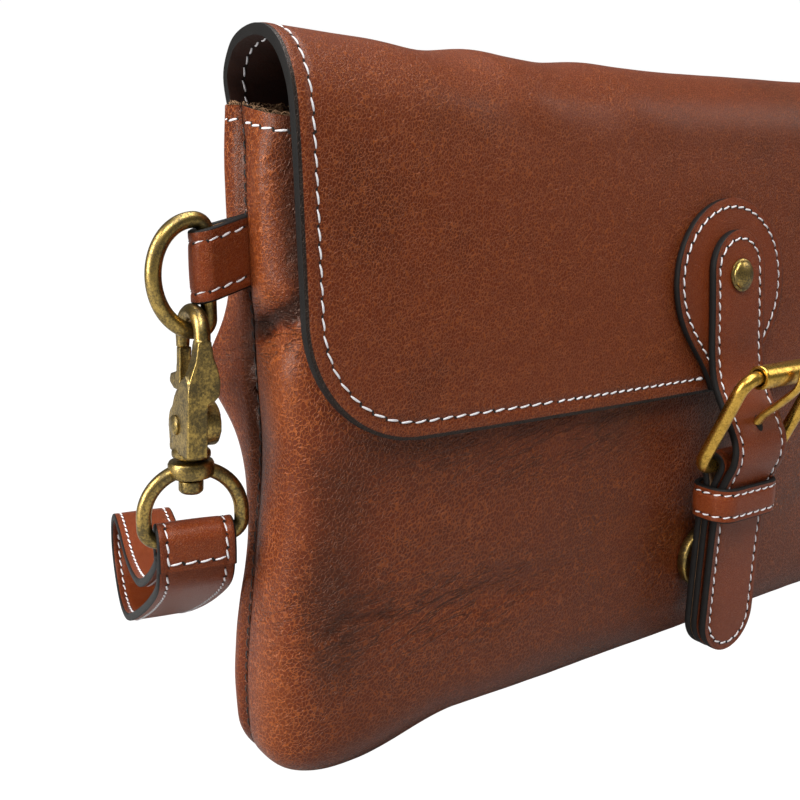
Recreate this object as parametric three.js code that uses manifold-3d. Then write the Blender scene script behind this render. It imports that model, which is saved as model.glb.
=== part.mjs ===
// Flap-over leather clutch bag with a buckled closure strap and a wrist strap on a snap hook.
// Millimetres, +Z up. The front faces -Y, and the origin is on the floor under the middle of the bag.
import * as THREE from "three";
import { mergeVertices } from "three/addons/utils/BufferGeometryUtils.js";
import Module from "manifold-3d";

const wasm = await Module();
wasm.setup();

// Leather and clearances
const GAP = 0.3;
const PANEL_WALL = 2.0;
const FLAP_WALL = 3.0;
const STRAP_WALL = 2.4;
const PATCH_WALL = 2.0;
const KEEPER_WALL = 1.8;

// Pouch: one row for each height, with the half width at the side seam and the front and back faces
const SEAM_Y = 5.0;
const POUCH = [
  { z: 0, halfWidth: 151.2, frontY: -22.0, backY: 15.0 },
  { z: 18, halfWidth: 151.6, frontY: -23.5, backY: 16.0 },
  { z: 50, halfWidth: 148.4, frontY: -26.0, backY: 17.0 },
  { z: 84, halfWidth: 145.0, frontY: -27.0, backY: 17.5 },
  { z: 112, halfWidth: 146.0, frontY: -25.2, backY: 18.6 },
  { z: 140, halfWidth: 147.0, frontY: -22.8, backY: 19.0 },
  { z: 172, halfWidth: 146.6, frontY: -19.5, backY: 18.5 },
];
// The base sags at both ends, on which the bag stands, and the whole bag is lifted by that sag
const BASE_SAG = 8.5;
const BASE_SAG_FROM = 0.66;
const BASE_SAG_TO = 0.96;
const FRONT_SQUARENESS = 4.6;
const BACK_SQUARENESS = 6.0;
const BOTTOM_SQUARENESS = 2.4;
const BOTTOM_ROLL_MIDDLE = 27.0;
const BOTTOM_ROLL_END = 14.5;
const CORNER_ROUND = 13.0;
// The bottom is pressed flat from the seam to this turn of its roll
const BOTTOM_FLAT_DEGREES = 42;
const BOTTOM_ROW_DEGREES = [0, 22, BOTTOM_FLAT_DEGREES, 53, 63, 72, 81, 90];
const BOTTOM_SHARE = 0.35;
const RIM_SEAM_Z = 170.5;
const RIM_FRONT_DROP = 5.0;
const RIM_BACK_RISE = 0.5;

// Dents and swells of the soft pouch: place, reach along each axis and height out of the surface
const DENT_SEAM_FADE = 8.0;
const DENTS = [
  { x: -147, y: -9, z: 114, reachX: 14, reachY: 15, reachZ: 6, height: -3.0 },
  { x: 147, y: -9, z: 114, reachX: 14, reachY: 15, reachZ: 6, height: -3.0 },
  { x: -146, y: -12, z: 93, reachX: 18, reachY: 16, reachZ: 12, height: 1.6 },
  { x: 146, y: -12, z: 93, reachX: 18, reachY: 16, reachZ: 12, height: 1.6 },
  { x: -92, y: -25, z: 38, reachX: 36, reachY: 20, reachZ: 6, height: -1.6 },
  { x: 96, y: -25, z: 44, reachX: 36, reachY: 20, reachZ: 6, height: -1.4 },
  { x: -146, y: 17, z: 102, reachX: 16, reachY: 12, reachZ: 12, height: 3.2 },
  { x: 146, y: 17, z: 102, reachX: 16, reachY: 12, reachZ: 12, height: 3.2 },
  { x: -149, y: 14, z: 154, reachX: 6.5, reachY: 9, reachZ: 26, height: 2.6 },
  { x: 149, y: 14, z: 154, reachX: 6.5, reachY: 9, reachZ: 26, height: 2.6 },
  { x: 0, y: 18, z: 86, reachX: 70, reachY: 20, reachZ: 9, height: -1.6 },
];

// Flap: its outer face from the back hem over the top to the front edge, at the middle and at the ends
const FLAP_HALF_WIDTH = 146.0;
const FLAP_CORNER = 31.0;
const FLAP_SAG_POWER = 2.2;
const FLAP_HEM_TOP = 171.0;
// The flap narrows over the back of its arch to the hem
const FLAP_HEM_INSET = 5.5;
const FLAP_HEM_NARROWS = [12, 58];
const FLAP_LINE = [
  { middleY: 22.2, middleZ: 140, endY: 22.2, endZ: 140 },
  { middleY: 22.2, middleZ: 154, endY: 22.2, endZ: 154 },
  { middleY: 22.2, middleZ: 168, endY: 22.2, endZ: 168 },
  { middleY: 20.0, middleZ: 176.5, endY: 19.6, endZ: 179 },
  { middleY: 12.0, middleZ: 182.8, endY: 11.5, endZ: 186.4 },
  { middleY: -2.0, middleZ: 185.0, endY: -2.5, endZ: 189.0 },
  { middleY: -14.5, middleZ: 181.6, endY: -13.5, endZ: 185.4 },
  { middleY: -22.6, middleZ: 172.0, endY: -20.6, endZ: 176.0 },
  { middleY: -25.2, middleZ: 158.0, endY: -23.0, endZ: 163.0 },
  { middleY: -27.2, middleZ: 140.0, endY: -24.2, endZ: 142.0 },
  { middleY: -29.2, middleZ: 115.0, endY: -25.6, endZ: 116.0 },
  { middleY: -31.0, middleZ: 88.0, endY: -26.2, endZ: 88.0 },
];

// Closure strap: its front face from the rounded top to the rounded tip
const STRAP_WIDTH = 24.0;
const STRAP_TOP_Z = 137.6;
const STRAP_TIP_Z = 2.4;
const STRAP_ON_PATCH_Z = [137.6, 124, 112, 101];
const STRAP_LINE = [
  { z: 93, y: -36.6 },
  { z: 87, y: -39.4 },
  { z: 80, y: -43.6 },
  { z: 74, y: -46.2 },
  { z: 68, y: -46.0 },
  { z: 62.5, y: -43.6 },
  { z: 56, y: -41.2 },
  { z: 48, y: -40.2 },
  { z: 30, y: -39.3 },
  { z: 2.4, y: -38.2 },
];
const PATCH = { top: 147.0, radius: 25.0, low: 89.0, lowHalfWidth: 9.0 };
const RIVET = { z: 124.0, radius: 5.0, height: 2.2 };

// Buckle: frame from the base bar to the roller bar, which stands out in front of the strap
const BASE_BAR = { y: -37.3, z: 66.5 };
const ROLLER_BAR = { y: -52.0, z: 96.5 };
const BUCKLE_HALF_WIDTH = 18.4;
const BUCKLE_WIRE = 2.1;
const BUCKLE_CORNER = 5.0;
const ROLLER = { inner: 2.6, outer: 3.6, length: 26.0 };
const PRONG_WIRE = 1.15;
const PRONG_SLOT = 4.4;
const PRONG_HOLE = { low: 75.0, high: 85.5 };
const PRONG_LINE = [
  { y: -41.0, z: 69.0 },
  { y: -41.1, z: 74.5 },
  { y: -44.6, z: 81.5 },
  { y: -51.4, z: 87.6 },
  { y: -56.6, z: 93.0 },
  { y: -57.6, z: 98.8 },
];
const BACKING_WALL = 5.0;
const BACKING_GAP = 0.9;
const BACKING_FOLD_WALL = 1.6;
const KEEPER = { low: 49.2, high: 60.2 };
const SNAP = { z: 32.0, radius: 11.0 };

// Ring tab and D-ring at the left side seam
const TAB = { seamX: -147.4, low: 125.6, height: 18.2, droop: 0.26, wall: 2.0, seamHalf: 2.5 };
const RING = { x: -157.0, z: 129.3, halfHeight: 13.75, corner: 3.0, wire: 2.05 };
const RING_BOW = { x: -160.0, reach: 11.0 };

// Snap hook: its plane is across the bag, with the spine in front and the trigger behind, and it leans.
// Its left half is the plate that holds the pin, and the trigger's round lobe lies beside the plate.
const HOOK = { x: -161.5, y: 5.2, spineOut: -2.8, spineIn: 0.8, noseIn: 9.2, noseOut: 12.6 };
const HOOK_LEAN = THREE.MathUtils.degToRad(3.2);
const HOOK_HANG_Z = 117.0;
const HOOK_ARCH = { z: 114.4, crown: 7.0, half: 1.8 };
const HOOK_NOSE_Z = 112.1;
const HOOK_PLATE = { left: -3.4, right: 1.1, z: 92.0, radius: 5.2, low: 84.8, half: 3.4 };
const HOOK_SHOULDER = { right: 5.8, low: 98.8, high: 103.0 };
const TRIGGER = { lobe: 5.9, left: 1.4, half: 1.6, top: 111.1, bridge: 99.8 };
const PIN = { radius: 1.3, hole: 1.6, head: 2.6, headHeight: 0.8 };

// Swivel eye and wrist strap, both turned about the hook's stem
const EYE_X = -163.54;
const EYE_TURN = THREE.MathUtils.degToRad(-12);
const EYE = { wire: 1.95, half: 12.6, barZ: 61.8, corner: 3.8, archZ: 68.0, archHeight: 12.4 };
const BARREL = { low: 78.3, high: 82.6, radius: 5.9, hole: 2.55 };
const WRIST_WIDTH = 20.4;
const WRIST_WALL = 2.6;
const WRIST_FOLD = { hole: 2.55, outer: 4.7, low: 54.5 };
// Middle line of the loop, out from the stem along the lower leg, round the far end and back
const WRIST_LINE = [
  { out: -1.6, z: 57.5 },
  { out: 2.5, z: 48.5 },
  { out: 22, z: 36.0 },
  { out: 52, z: 20.0 },
  { out: 82, z: 5.8 },
  { out: 98, z: 1.9 },
  { out: 110, z: 3.8 },
  { out: 119, z: 11.0 },
  { out: 121.5, z: 19.0 },
  { out: 117, z: 28.5 },
  { out: 107, z: 33.5 },
  { out: 94, z: 32.8 },
  { out: 74, z: 29.0 },
  { out: 48, z: 32.0 },
  { out: 22, z: 43.5 },
  { out: 5, z: 53.8 },
  { out: 1.6, z: 57.5 },
];

const LEATHER = { color: 0x7a3f1d, roughness: 0.5, metalness: 0.0 };
const DARK_LEATHER = { color: 0x6a3518, roughness: 0.55, metalness: 0.0 };
const ANTIQUE_BRASS = { color: 0x6b5a2c, roughness: 0.4, metalness: 1.0 };
const GOLD_BRASS = { color: 0xa8853e, roughness: 0.32, metalness: 1.0 };

const bag = new THREE.Group();

function addPiece(name, geometry, finish, parent = bag) {
  const mesh = new THREE.Mesh(geometry, new THREE.MeshStandardMaterial(finish));
  mesh.name = name;
  parent.add(mesh);
  return mesh;
}

// Smooth values between the rows of a table
function between(table, key, columns) {
  const places = table.map((row) => row[key]);
  const values = table.flatMap((row) => columns.map((column) => row[column]));
  const curve = new THREE.CubicInterpolant(places, values, columns.length);
  return (place) => {
    const found = curve.evaluate(place);
    return Object.fromEntries(columns.map((column, i) => [column, found[i]]));
  };
}

function steps(count) {
  return Array.from({ length: count + 1 }, (_, i) => i / count);
}

// Closed geometry from points and triangles, turned so that its faces point out
function closedGeometry(points, triangles) {
  let volume = 0;
  const edge = new THREE.Vector3();
  for (const [a, b, c] of triangles) {
    volume += edge.crossVectors(points[b], points[c]).dot(points[a]);
  }
  const ordered = volume < 0 ? triangles.map(([a, b, c]) => [a, c, b]) : triangles;
  const geometry = new THREE.BufferGeometry();
  const positions = points.flatMap((point) => point.toArray());
  geometry.setAttribute("position", new THREE.Float32BufferAttribute(positions, 3));
  geometry.setIndex(ordered.flat());
  return geometry;
}

// Wall of even thickness behind an outer face that pointAt gives for places from 0 to 1 each way.
// A seam keeps the wall on its own side of the plane where two panels meet.
function wall(pointAt, across, along, thickness, seam) {
  const nudge = 1e-3;
  const innerPoint = (u, v) => {
    const [u0, u1] = [Math.max(u - nudge, 0), Math.min(u + nudge, 1)];
    const [v0, v1] = [Math.max(v - nudge, 0), Math.min(v + nudge, 1)];
    const sideways = pointAt(u1, v).sub(pointAt(u0, v));
    const upward = pointAt(u, v1).sub(pointAt(u, v0));
    const normal = upward.cross(sideways);
    if (seam && seam.isEdge(u, v)) normal.y = 0;
    const inner = pointAt(u, v).addScaledVector(normal.normalize(), thickness);
    if (seam && (inner.y - seam.y) * seam.side < 0) inner.y = seam.y;
    return inner;
  };
  const points = [];
  for (const v of along) for (const u of across) points.push(pointAt(u, v));
  for (const v of along) for (const u of across) points.push(innerPoint(u, v));
  const [columns, rows] = [across.length, along.length];
  const layer = columns * rows;
  const triangles = [];
  const quad = (a, b, c, d) => triangles.push([a, b, c], [a, c, d]);
  for (let row = 0; row + 1 < rows; row += 1) {
    for (let column = 0; column + 1 < columns; column += 1) {
      const a = row * columns + column;
      quad(a, a + 1, a + columns + 1, a + columns);
      quad(layer + a, layer + a + columns, layer + a + columns + 1, layer + a + 1);
    }
    const [left, right] = [row * columns, row * columns + columns - 1];
    quad(left, left + columns, layer + left + columns, layer + left);
    quad(right + columns, right, layer + right, layer + right + columns);
  }
  const last = layer - columns;
  for (let column = 0; column + 1 < columns; column += 1) {
    quad(column + 1, column, layer + column, layer + column + 1);
    quad(last + column, last + column + 1, layer + last + column + 1, layer + last + column);
  }
  return closedGeometry(points, triangles);
}

// Round wire along a line of points, closed into a ring or capped at both ends
function wire(line, radius, sides, closed) {
  const count = line.length;
  const plane = new THREE.Vector3(...bestNormal(line));
  const points = [];
  line.forEach((point, i) => {
    const before = line[closed ? (i + count - 1) % count : Math.max(i - 1, 0)];
    const after = line[closed ? (i + 1) % count : Math.min(i + 1, count - 1)];
    const tangent = after.clone().sub(before).normalize();
    const outward = tangent.clone().cross(plane).normalize();
    for (let side = 0; side < sides; side += 1) {
      const angle = (side / sides) * 2 * Math.PI;
      points.push(point.clone()
        .addScaledVector(outward, radius * Math.cos(angle))
        .addScaledVector(plane, radius * Math.sin(angle)));
    }
  });
  const triangles = [];
  const spans = closed ? count : count - 1;
  for (let i = 0; i < spans; i += 1) {
    const [here, next] = [i * sides, ((i + 1) % count) * sides];
    for (let side = 0; side < sides; side += 1) {
      const turn = (side + 1) % sides;
      triangles.push([here + side, here + turn, next + turn], [here + side, next + turn, next + side]);
    }
  }
  if (!closed) {
    const end = (count - 1) * sides;
    for (let side = 1; side + 1 < sides; side += 1) {
      triangles.push([0, side + 1, side], [end, end + side, end + side + 1]);
    }
  }
  return closedGeometry(points, triangles);
}

// Normal of the plane that a bent line lies in
function bestNormal(line) {
  const sum = new THREE.Vector3();
  const middle = new THREE.Vector3();
  line.forEach((point) => middle.addScaledVector(point, 1 / line.length));
  for (let i = 0; i + 1 < line.length; i += 1) {
    sum.add(line[i].clone().sub(middle).cross(line[i + 1].clone().sub(middle)));
  }
  return sum.normalize().toArray();
}

function solidOf(geometry) {
  const bare = geometry.clone();
  bare.deleteAttribute("normal");
  bare.deleteAttribute("uv");
  const merged = mergeVertices(bare, 1e-4);
  const vertProperties = Float32Array.from(merged.attributes.position.array);
  const triVerts = Uint32Array.from(merged.index.array);
  return new wasm.Manifold(new wasm.Mesh({ numProp: 3, vertProperties, triVerts }));
}

function geometryOf(solid) {
  const { vertProperties, triVerts } = solid.getMesh();
  const geometry = new THREE.BufferGeometry();
  geometry.setAttribute("position", new THREE.Float32BufferAttribute(vertProperties, 3));
  geometry.setIndex(Array.from(triVerts));
  return geometry;
}

// Outlines pushed along one axis: drawn in (Y, Z) and pushed along X, or in (X, Z) and pushed along Y
function pushed(shape, depth, curveSegments) {
  return new THREE.ExtrudeGeometry(shape, { depth, curveSegments, bevelEnabled: false });
}

function pushedAlongX(shape, fromX, toX, curveSegments = 8) {
  const axes = new THREE.Matrix4().makeBasis(
    new THREE.Vector3(0, 1, 0), new THREE.Vector3(0, 0, 1), new THREE.Vector3(1, 0, 0));
  return pushed(shape, toX - fromX, curveSegments).applyMatrix4(axes).translate(fromX, 0, 0);
}

function pushedAlongY(shape, fromY, toY, curveSegments = 8) {
  const axes = new THREE.Matrix4().makeBasis(
    new THREE.Vector3(1, 0, 0), new THREE.Vector3(0, 0, 1), new THREE.Vector3(0, -1, 0));
  return pushed(shape, toY - fromY, curveSegments).applyMatrix4(axes).translate(0, toY, 0);
}

function boxSolid(x0, x1, y0, y1, z0, z1) {
  const box = new THREE.BoxGeometry(x1 - x0, y1 - y0, z1 - z0);
  return solidOf(box.translate((x0 + x1) / 2, (y0 + y1) / 2, (z0 + z1) / 2));
}

function rodAlongX(radius, x0, x1, y, z, sides = 20) {
  const rod = new THREE.CylinderGeometry(radius, radius, x1 - x0, sides);
  return solidOf(rod.rotateZ(Math.PI / 2).translate((x0 + x1) / 2, y, z));
}

function turnedAboutZ(profile, sides = 20) {
  return new THREE.LatheGeometry(profile.map(([radius, z]) => new THREE.Vector2(radius, z)), sides)
    .rotateX(Math.PI / 2);
}

// Band of even thickness beside a line in (Y, Z), on the side to the right of its run
function bandShape(line, thickness) {
  const far = line.map((point, i) => {
    const before = line[Math.max(i - 1, 0)];
    const after = line[Math.min(i + 1, line.length - 1)];
    const run = after.clone().sub(before).normalize();
    return new THREE.Vector2(point.x + run.y * thickness, point.y - run.x * thickness);
  });
  return new THREE.Shape([...line, ...far.reverse()]);
}

function smoothLine(points, count) {
  return new THREE.SplineCurve(points).getPoints(count);
}

// Pouch
const pouchAt = between(POUCH, "z", ["halfWidth", "frontY", "backY"]);

// Angles across a squared arch, close together where it bends
function archAngles(count, squareness) {
  const dense = 600;
  const place = (k) => {
    const angle = (k / dense) * Math.PI;
    const x = Math.sign(Math.cos(angle)) * Math.abs(Math.cos(angle)) ** (2 / squareness);
    return new THREE.Vector2(147 * x, 27 * Math.sin(angle) ** (2 / squareness));
  };
  const measure = [0];
  for (let k = 1; k <= dense; k += 1) {
    measure.push(measure[k - 1] + place(k).distanceTo(place(k - 1)) + 0.5);
  }
  return steps(count).map((share) => {
    const goal = share * measure[dense];
    const k = Math.min(measure.findIndex((value) => value >= goal - 1e-9), dense);
    return k / dense;
  });
}

// Height of the bottom's roll at a turn from the seam, as a share of its radius
function rollHeight(turn) {
  return 1 - Math.max(Math.cos(turn), 0) ** (2 / BOTTOM_SQUARENESS);
}

const BOTTOM_FLAT_SHARE = rollHeight(THREE.MathUtils.degToRad(BOTTOM_FLAT_DEGREES)) + 1e-4;

function panelPoint(u, v, squareness, faceY, rimChange) {
  const angle = u * Math.PI;
  const side = Math.sign(Math.cos(angle)) * Math.abs(Math.cos(angle)) ** (2 / squareness);
  const bulge = Math.max(Math.sin(angle), 0) ** (2 / squareness);
  const roll = BOTTOM_ROLL_END + (BOTTOM_ROLL_MIDDLE - BOTTOM_ROLL_END) * (1 - side * side);
  const pressed = roll * BOTTOM_FLAT_SHARE;
  const base = -BASE_SAG * THREE.MathUtils.smoothstep(Math.abs(side), BASE_SAG_FROM, BASE_SAG_TO);
  let depth = 1;
  let z;
  if (v < BOTTOM_SHARE) {
    const turn = (v / BOTTOM_SHARE) * (Math.PI / 2);
    depth = Math.sin(turn) ** (2 / BOTTOM_SQUARENESS);
    z = base + Math.max(roll * rollHeight(turn) - pressed, 0);
  } else {
    const rim = RIM_SEAM_Z + rimChange * bulge;
    z = THREE.MathUtils.lerp(base + roll - pressed, rim, (v - BOTTOM_SHARE) / (1 - BOTTOM_SHARE));
  }
  const row = pouchAt(z);
  const cornerDrop = 1 - Math.min(z - base, CORNER_ROUND) / CORNER_ROUND;
  const inset = CORNER_ROUND * (1 - Math.sqrt(1 - cornerDrop * cornerDrop));
  const x = -(row.halfWidth - inset) * side;
  const y = SEAM_Y + (row[faceY] - SEAM_Y) * bulge * depth;
  const point = new THREE.Vector3(x, y, z);
  return dented(point);
}

// Dents push a point out of the front, the back or an end of the pouch, and fade out at the seam
function dented(point) {
  const seamShare = Math.min(Math.abs(point.y - SEAM_Y) / DENT_SEAM_FADE, 1);
  for (const dent of DENTS) {
    const reach = ((point.x - dent.x) / dent.reachX) ** 2
      + ((point.y - dent.y) / dent.reachY) ** 2 + ((point.z - dent.z) / dent.reachZ) ** 2;
    const amount = dent.height * seamShare * Math.exp(-reach);
    const endShare = Math.max(Math.abs(point.x) - 125, 0) / 25;
    point.x += amount * endShare * Math.sign(point.x);
    point.y += amount * (1 - Math.min(endShare, 1)) * Math.sign(point.y - SEAM_Y);
  }
  return point;
}

const frontPoint = (u, v) => panelPoint(u, v, FRONT_SQUARENESS, "frontY", -RIM_FRONT_DROP);
const backPoint = (u, v) => panelPoint(u, v, BACK_SQUARENESS, "backY", RIM_BACK_RISE);
const isSeamEdge = (u, v) => u === 0 || u === 1 || v === 0;
const frontSeam = { y: SEAM_Y, side: -1, isEdge: isSeamEdge };
const backSeam = { y: SEAM_Y, side: 1, isEdge: isSeamEdge };
const rollRows = BOTTOM_ROW_DEGREES.map((degrees) => (degrees / 90) * BOTTOM_SHARE);
const faceRow = (t) => BOTTOM_SHARE + t * (1 - BOTTOM_SHARE);
const faceRows = steps(10).slice(1).map(faceRow);
const panelRows = [...rollRows, ...faceRows];

const frontPanel = wall(frontPoint, archAngles(30, FRONT_SQUARENESS), panelRows, PANEL_WALL, frontSeam);
const backRows = [...rollRows, ...steps(8).slice(1).map(faceRow)];
const backPanel = wall(
  (u, v) => backPoint(1 - u, v), archAngles(24, BACK_SQUARENESS), backRows, PANEL_WALL, backSeam);
addPiece("front_panel", frontPanel.translate(0, -GAP / 2, 0), LEATHER);
addPiece("back_panel", backPanel.translate(0, GAP / 2, 0), LEATHER);

// Outer face of the back panel at a height, at the middle of the bag
function backFaceY(z) {
  return pouchAt(z).backY + GAP / 2;
}

// Flap
const flapCurve = (y, z) => new THREE.SplineCurve(FLAP_LINE.map((row) => new THREE.Vector2(row[y], row[z])));
const flapMiddle = flapCurve("middleY", "middleZ");
const flapEnd = flapCurve("endY", "endZ");
const flapLength = flapMiddle.getLength();

function flapPoint(u, v) {
  const toEdge = (1 - v) * flapLength;
  const cornerShare = 1 - Math.min(toEdge, FLAP_CORNER) / FLAP_CORNER;
  const inset = FLAP_CORNER * (1 - Math.sqrt(1 - cornerShare * cornerShare));
  const hemInset = FLAP_HEM_INSET * (1 - THREE.MathUtils.smoothstep(v * flapLength, ...FLAP_HEM_NARROWS));
  const x = (2 * u - 1) * (FLAP_HALF_WIDTH - inset - hemInset);
  const endShare = Math.abs(x / FLAP_HALF_WIDTH) ** FLAP_SAG_POWER;
  const line = flapMiddle.getPointAt(v).lerp(flapEnd.getPointAt(v), endShare);
  const hemY = backFaceY(line.y) + GAP + FLAP_WALL;
  const hemShare = THREE.MathUtils.smoothstep(FLAP_HEM_TOP + 14 - line.y, 0, 14);
  const isBack = line.x > 0;
  return new THREE.Vector3(x, isBack ? THREE.MathUtils.lerp(line.x, hemY, hemShare) : line.x, line.y);
}

const cornerRows = steps(6).map((t) => 1 - (FLAP_CORNER / flapLength) * (1 - Math.sin(t * Math.PI / 2)));
const bodyRows = steps(15).map((t) => t * (1 - FLAP_CORNER / flapLength));
const flapRows = [...bodyRows.slice(0, -1), ...cornerRows];
const flap = wall((u, v) => flapPoint(1 - u, v), steps(24), flapRows, FLAP_WALL, null);
addPiece("flap", flap, LEATHER);

// Outer face of the flap's front at the middle of the bag
const flapFrontLine = flapMiddle.getPoints(400).filter((point) => point.x < -20);

function flapFrontY(z) {
  const below = Math.max(flapFrontLine.findIndex((point) => point.y <= z), 1);
  const [high, low] = [flapFrontLine[below - 1], flapFrontLine[below]];
  return THREE.MathUtils.mapLinear(z, high.y, low.y, high.x, low.x);
}

// Patch and closure strap
const patchZ = steps(9).map((t) => THREE.MathUtils.lerp(PATCH.low, PATCH.top, t));
const patchBand = bandShape(patchZ.map((z) => new THREE.Vector2(flapFrontY(z) - GAP, z)), -PATCH_WALL);
const patchCentreZ = PATCH.top - PATCH.radius;
const patchOutline = new THREE.Shape();
patchOutline.moveTo(-PATCH.lowHalfWidth, PATCH.low);
patchOutline.lineTo(PATCH.lowHalfWidth, PATCH.low);
patchOutline.bezierCurveTo(12, 100, PATCH.radius, 106, PATCH.radius, patchCentreZ);
patchOutline.absarc(0, patchCentreZ, PATCH.radius, 0, Math.PI);
patchOutline.bezierCurveTo(-PATCH.radius, 106, -12, 100, -PATCH.lowHalfWidth, PATCH.low);
const patch = solidOf(pushedAlongX(patchBand, -40, 40))
  .intersect(solidOf(pushedAlongY(patchOutline, -60, 0, 12)));
addPiece("strap_patch", geometryOf(patch), LEATHER);

const strapOnPatchY = (z) => flapFrontY(z) - 2 * GAP - PATCH_WALL - STRAP_WALL;
const strapFront = smoothLine([
  ...STRAP_ON_PATCH_Z.map((z) => new THREE.Vector2(strapOnPatchY(z), z)),
  ...STRAP_LINE.map((row) => new THREE.Vector2(row.y, row.z)),
], 44);

// Strap outline in (X, Z) with rounded ends
function strapOutline(topZ, tipZ, roundTop) {
  const half = STRAP_WIDTH / 2;
  const outline = new THREE.Shape();
  outline.moveTo(half, tipZ + half);
  if (roundTop) outline.absarc(0, topZ - half, half, 0, Math.PI);
  else outline.lineTo(half, topZ).lineTo(-half, topZ);
  outline.lineTo(-half, tipZ + half);
  outline.absarc(0, tipZ + half, half, Math.PI, 2 * Math.PI);
  return solidOf(pushedAlongY(outline, -80, 0));
}

const prongSlot = boxSolid(-PRONG_SLOT / 2, PRONG_SLOT / 2, -60, -39, PRONG_HOLE.low, PRONG_HOLE.high);
const closureStrap = solidOf(pushedAlongX(bandShape(strapFront, -STRAP_WALL), -20, 20))
  .intersect(strapOutline(STRAP_TOP_Z, STRAP_TIP_Z, true))
  .subtract(prongSlot);
addPiece("closure_strap", geometryOf(closureStrap), LEATHER);

// Front face of the closure strap at a height
function strapFrontY(z) {
  const below = strapFront.findIndex((point) => point.y <= z);
  const [high, low] = [strapFront[below - 1], strapFront[below]];
  return THREE.MathUtils.mapLinear(z, high.y, low.y, high.x, low.x);
}

// Rivet cap, domed, square to the strap
const rivetLean = Math.atan2(strapFrontY(RIVET.z + 4) - strapFrontY(RIVET.z - 4), 8);
const rivetCap = turnedAboutZ([
  [0, 0], [RIVET.radius - 0.3, 0], [RIVET.radius, 0.5], [RIVET.radius * 0.82, RIVET.height * 0.7],
  [RIVET.radius * 0.5, RIVET.height * 0.93], [0, RIVET.height],
]);
const rivet = addPiece("rivet_cap", rivetCap, ANTIQUE_BRASS);
rivet.position.set(0, strapFrontY(RIVET.z) - GAP, RIVET.z);
rivet.rotation.x = Math.PI / 2 - rivetLean;

// Backing strap: behind the closure strap, with its fold round the base bar
const backingTopZ = BASE_BAR.z - 2;
const backingZ = steps(10).map((t) => THREE.MathUtils.lerp(backingTopZ, STRAP_TIP_Z, t));
const backingFront = backingZ.map((z) => new THREE.Vector2(strapFrontY(z) + STRAP_WALL + BACKING_GAP, z));
const foldRadius = BUCKLE_WIRE + GAP + BACKING_FOLD_WALL;
const backingBand = solidOf(pushedAlongX(bandShape(backingFront, -BACKING_WALL), -20, 20))
  .add(rodAlongX(foldRadius, -20, 20, BASE_BAR.y, BASE_BAR.z));
const foldSlot = boxSolid(-PRONG_SLOT / 2, PRONG_SLOT / 2, -60, -20, BASE_BAR.z - 5.4, BASE_BAR.z + 9);
const backingStrap = backingBand
  .intersect(strapOutline(BASE_BAR.z + 9, STRAP_TIP_Z, false))
  .subtract(rodAlongX(BUCKLE_WIRE + GAP, -20, 20, BASE_BAR.y, BASE_BAR.z))
  .subtract(foldSlot);
addPiece("backing_strap", geometryOf(backingStrap), DARK_LEATHER);

// Keeper loop round both straps
const keeperMiddle = (KEEPER.low + KEEPER.high) / 2;
const keeperFront = Math.min(strapFrontY(KEEPER.low), strapFrontY(KEEPER.high)) - GAP;
const keeperBack = strapFrontY(KEEPER.low) + STRAP_WALL + BACKING_GAP + BACKING_WALL + GAP + 0.4;
const keeperHalf = STRAP_WIDTH / 2 + GAP;

function roundedRectangle(halfWidth, front, back, round) {
  const outline = new THREE.Shape();
  outline.moveTo(-halfWidth + round, front);
  outline.absarc(halfWidth - round, front + round, round, -Math.PI / 2, 0);
  outline.absarc(halfWidth - round, back - round, round, 0, Math.PI / 2);
  outline.absarc(-halfWidth + round, back - round, round, Math.PI / 2, Math.PI);
  outline.absarc(-halfWidth + round, front + round, round, Math.PI, 1.5 * Math.PI);
  return outline;
}

const keeperRing = roundedRectangle(
  keeperHalf + KEEPER_WALL, keeperFront - KEEPER_WALL, keeperBack + KEEPER_WALL, KEEPER_WALL + 0.6);
keeperRing.holes.push(roundedRectangle(keeperHalf, keeperFront, keeperBack, 0.6));
const keeper = addPiece("keeper", pushed(keeperRing, KEEPER.high - KEEPER.low, 3), LEATHER);
keeper.position.z = keeperMiddle - (KEEPER.high - KEEPER.low) / 2;

// Buckle frame, roller and prong
const buckleRise = new THREE.Vector3(0, ROLLER_BAR.y - BASE_BAR.y, ROLLER_BAR.z - BASE_BAR.z);
const buckleLength = buckleRise.length();
buckleRise.normalize();
const frameLine = new THREE.Path();
const frameStraight = BUCKLE_HALF_WIDTH - BUCKLE_CORNER;
frameLine.moveTo(-frameStraight, 0);
frameLine.absarc(frameStraight, BUCKLE_CORNER, BUCKLE_CORNER, -Math.PI / 2, 0);
frameLine.absarc(frameStraight, buckleLength - BUCKLE_CORNER, BUCKLE_CORNER, 0, Math.PI / 2);
frameLine.absarc(-frameStraight, buckleLength - BUCKLE_CORNER, BUCKLE_CORNER, Math.PI / 2, Math.PI);
frameLine.absarc(-frameStraight, BUCKLE_CORNER, BUCKLE_CORNER, Math.PI, 1.5 * Math.PI);

// Points of a closed outline with no point twice
function ringPoints(path, divisions) {
  const points = path.getPoints(divisions);
  return points.filter((point, i) => point.distanceTo(points[(i + 1) % points.length]) > 1e-3);
}

const framePoints = ringPoints(frameLine, 3).map((point) =>
  new THREE.Vector3(point.x, BASE_BAR.y, BASE_BAR.z).addScaledVector(buckleRise, point.y));
addPiece("buckle_frame", wire(framePoints, BUCKLE_WIRE, 10, true), GOLD_BRASS);

const rollerTube = turnedAboutZ([
  [ROLLER.inner, -ROLLER.length / 2], [ROLLER.outer, -ROLLER.length / 2],
  [ROLLER.outer, ROLLER.length / 2], [ROLLER.inner, ROLLER.length / 2], [ROLLER.inner, -ROLLER.length / 2],
], 18);
const roller = addPiece("buckle_roller", rollerTube, GOLD_BRASS);
roller.position.set(0, ROLLER_BAR.y, ROLLER_BAR.z);
roller.rotation.y = Math.PI / 2;

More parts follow.
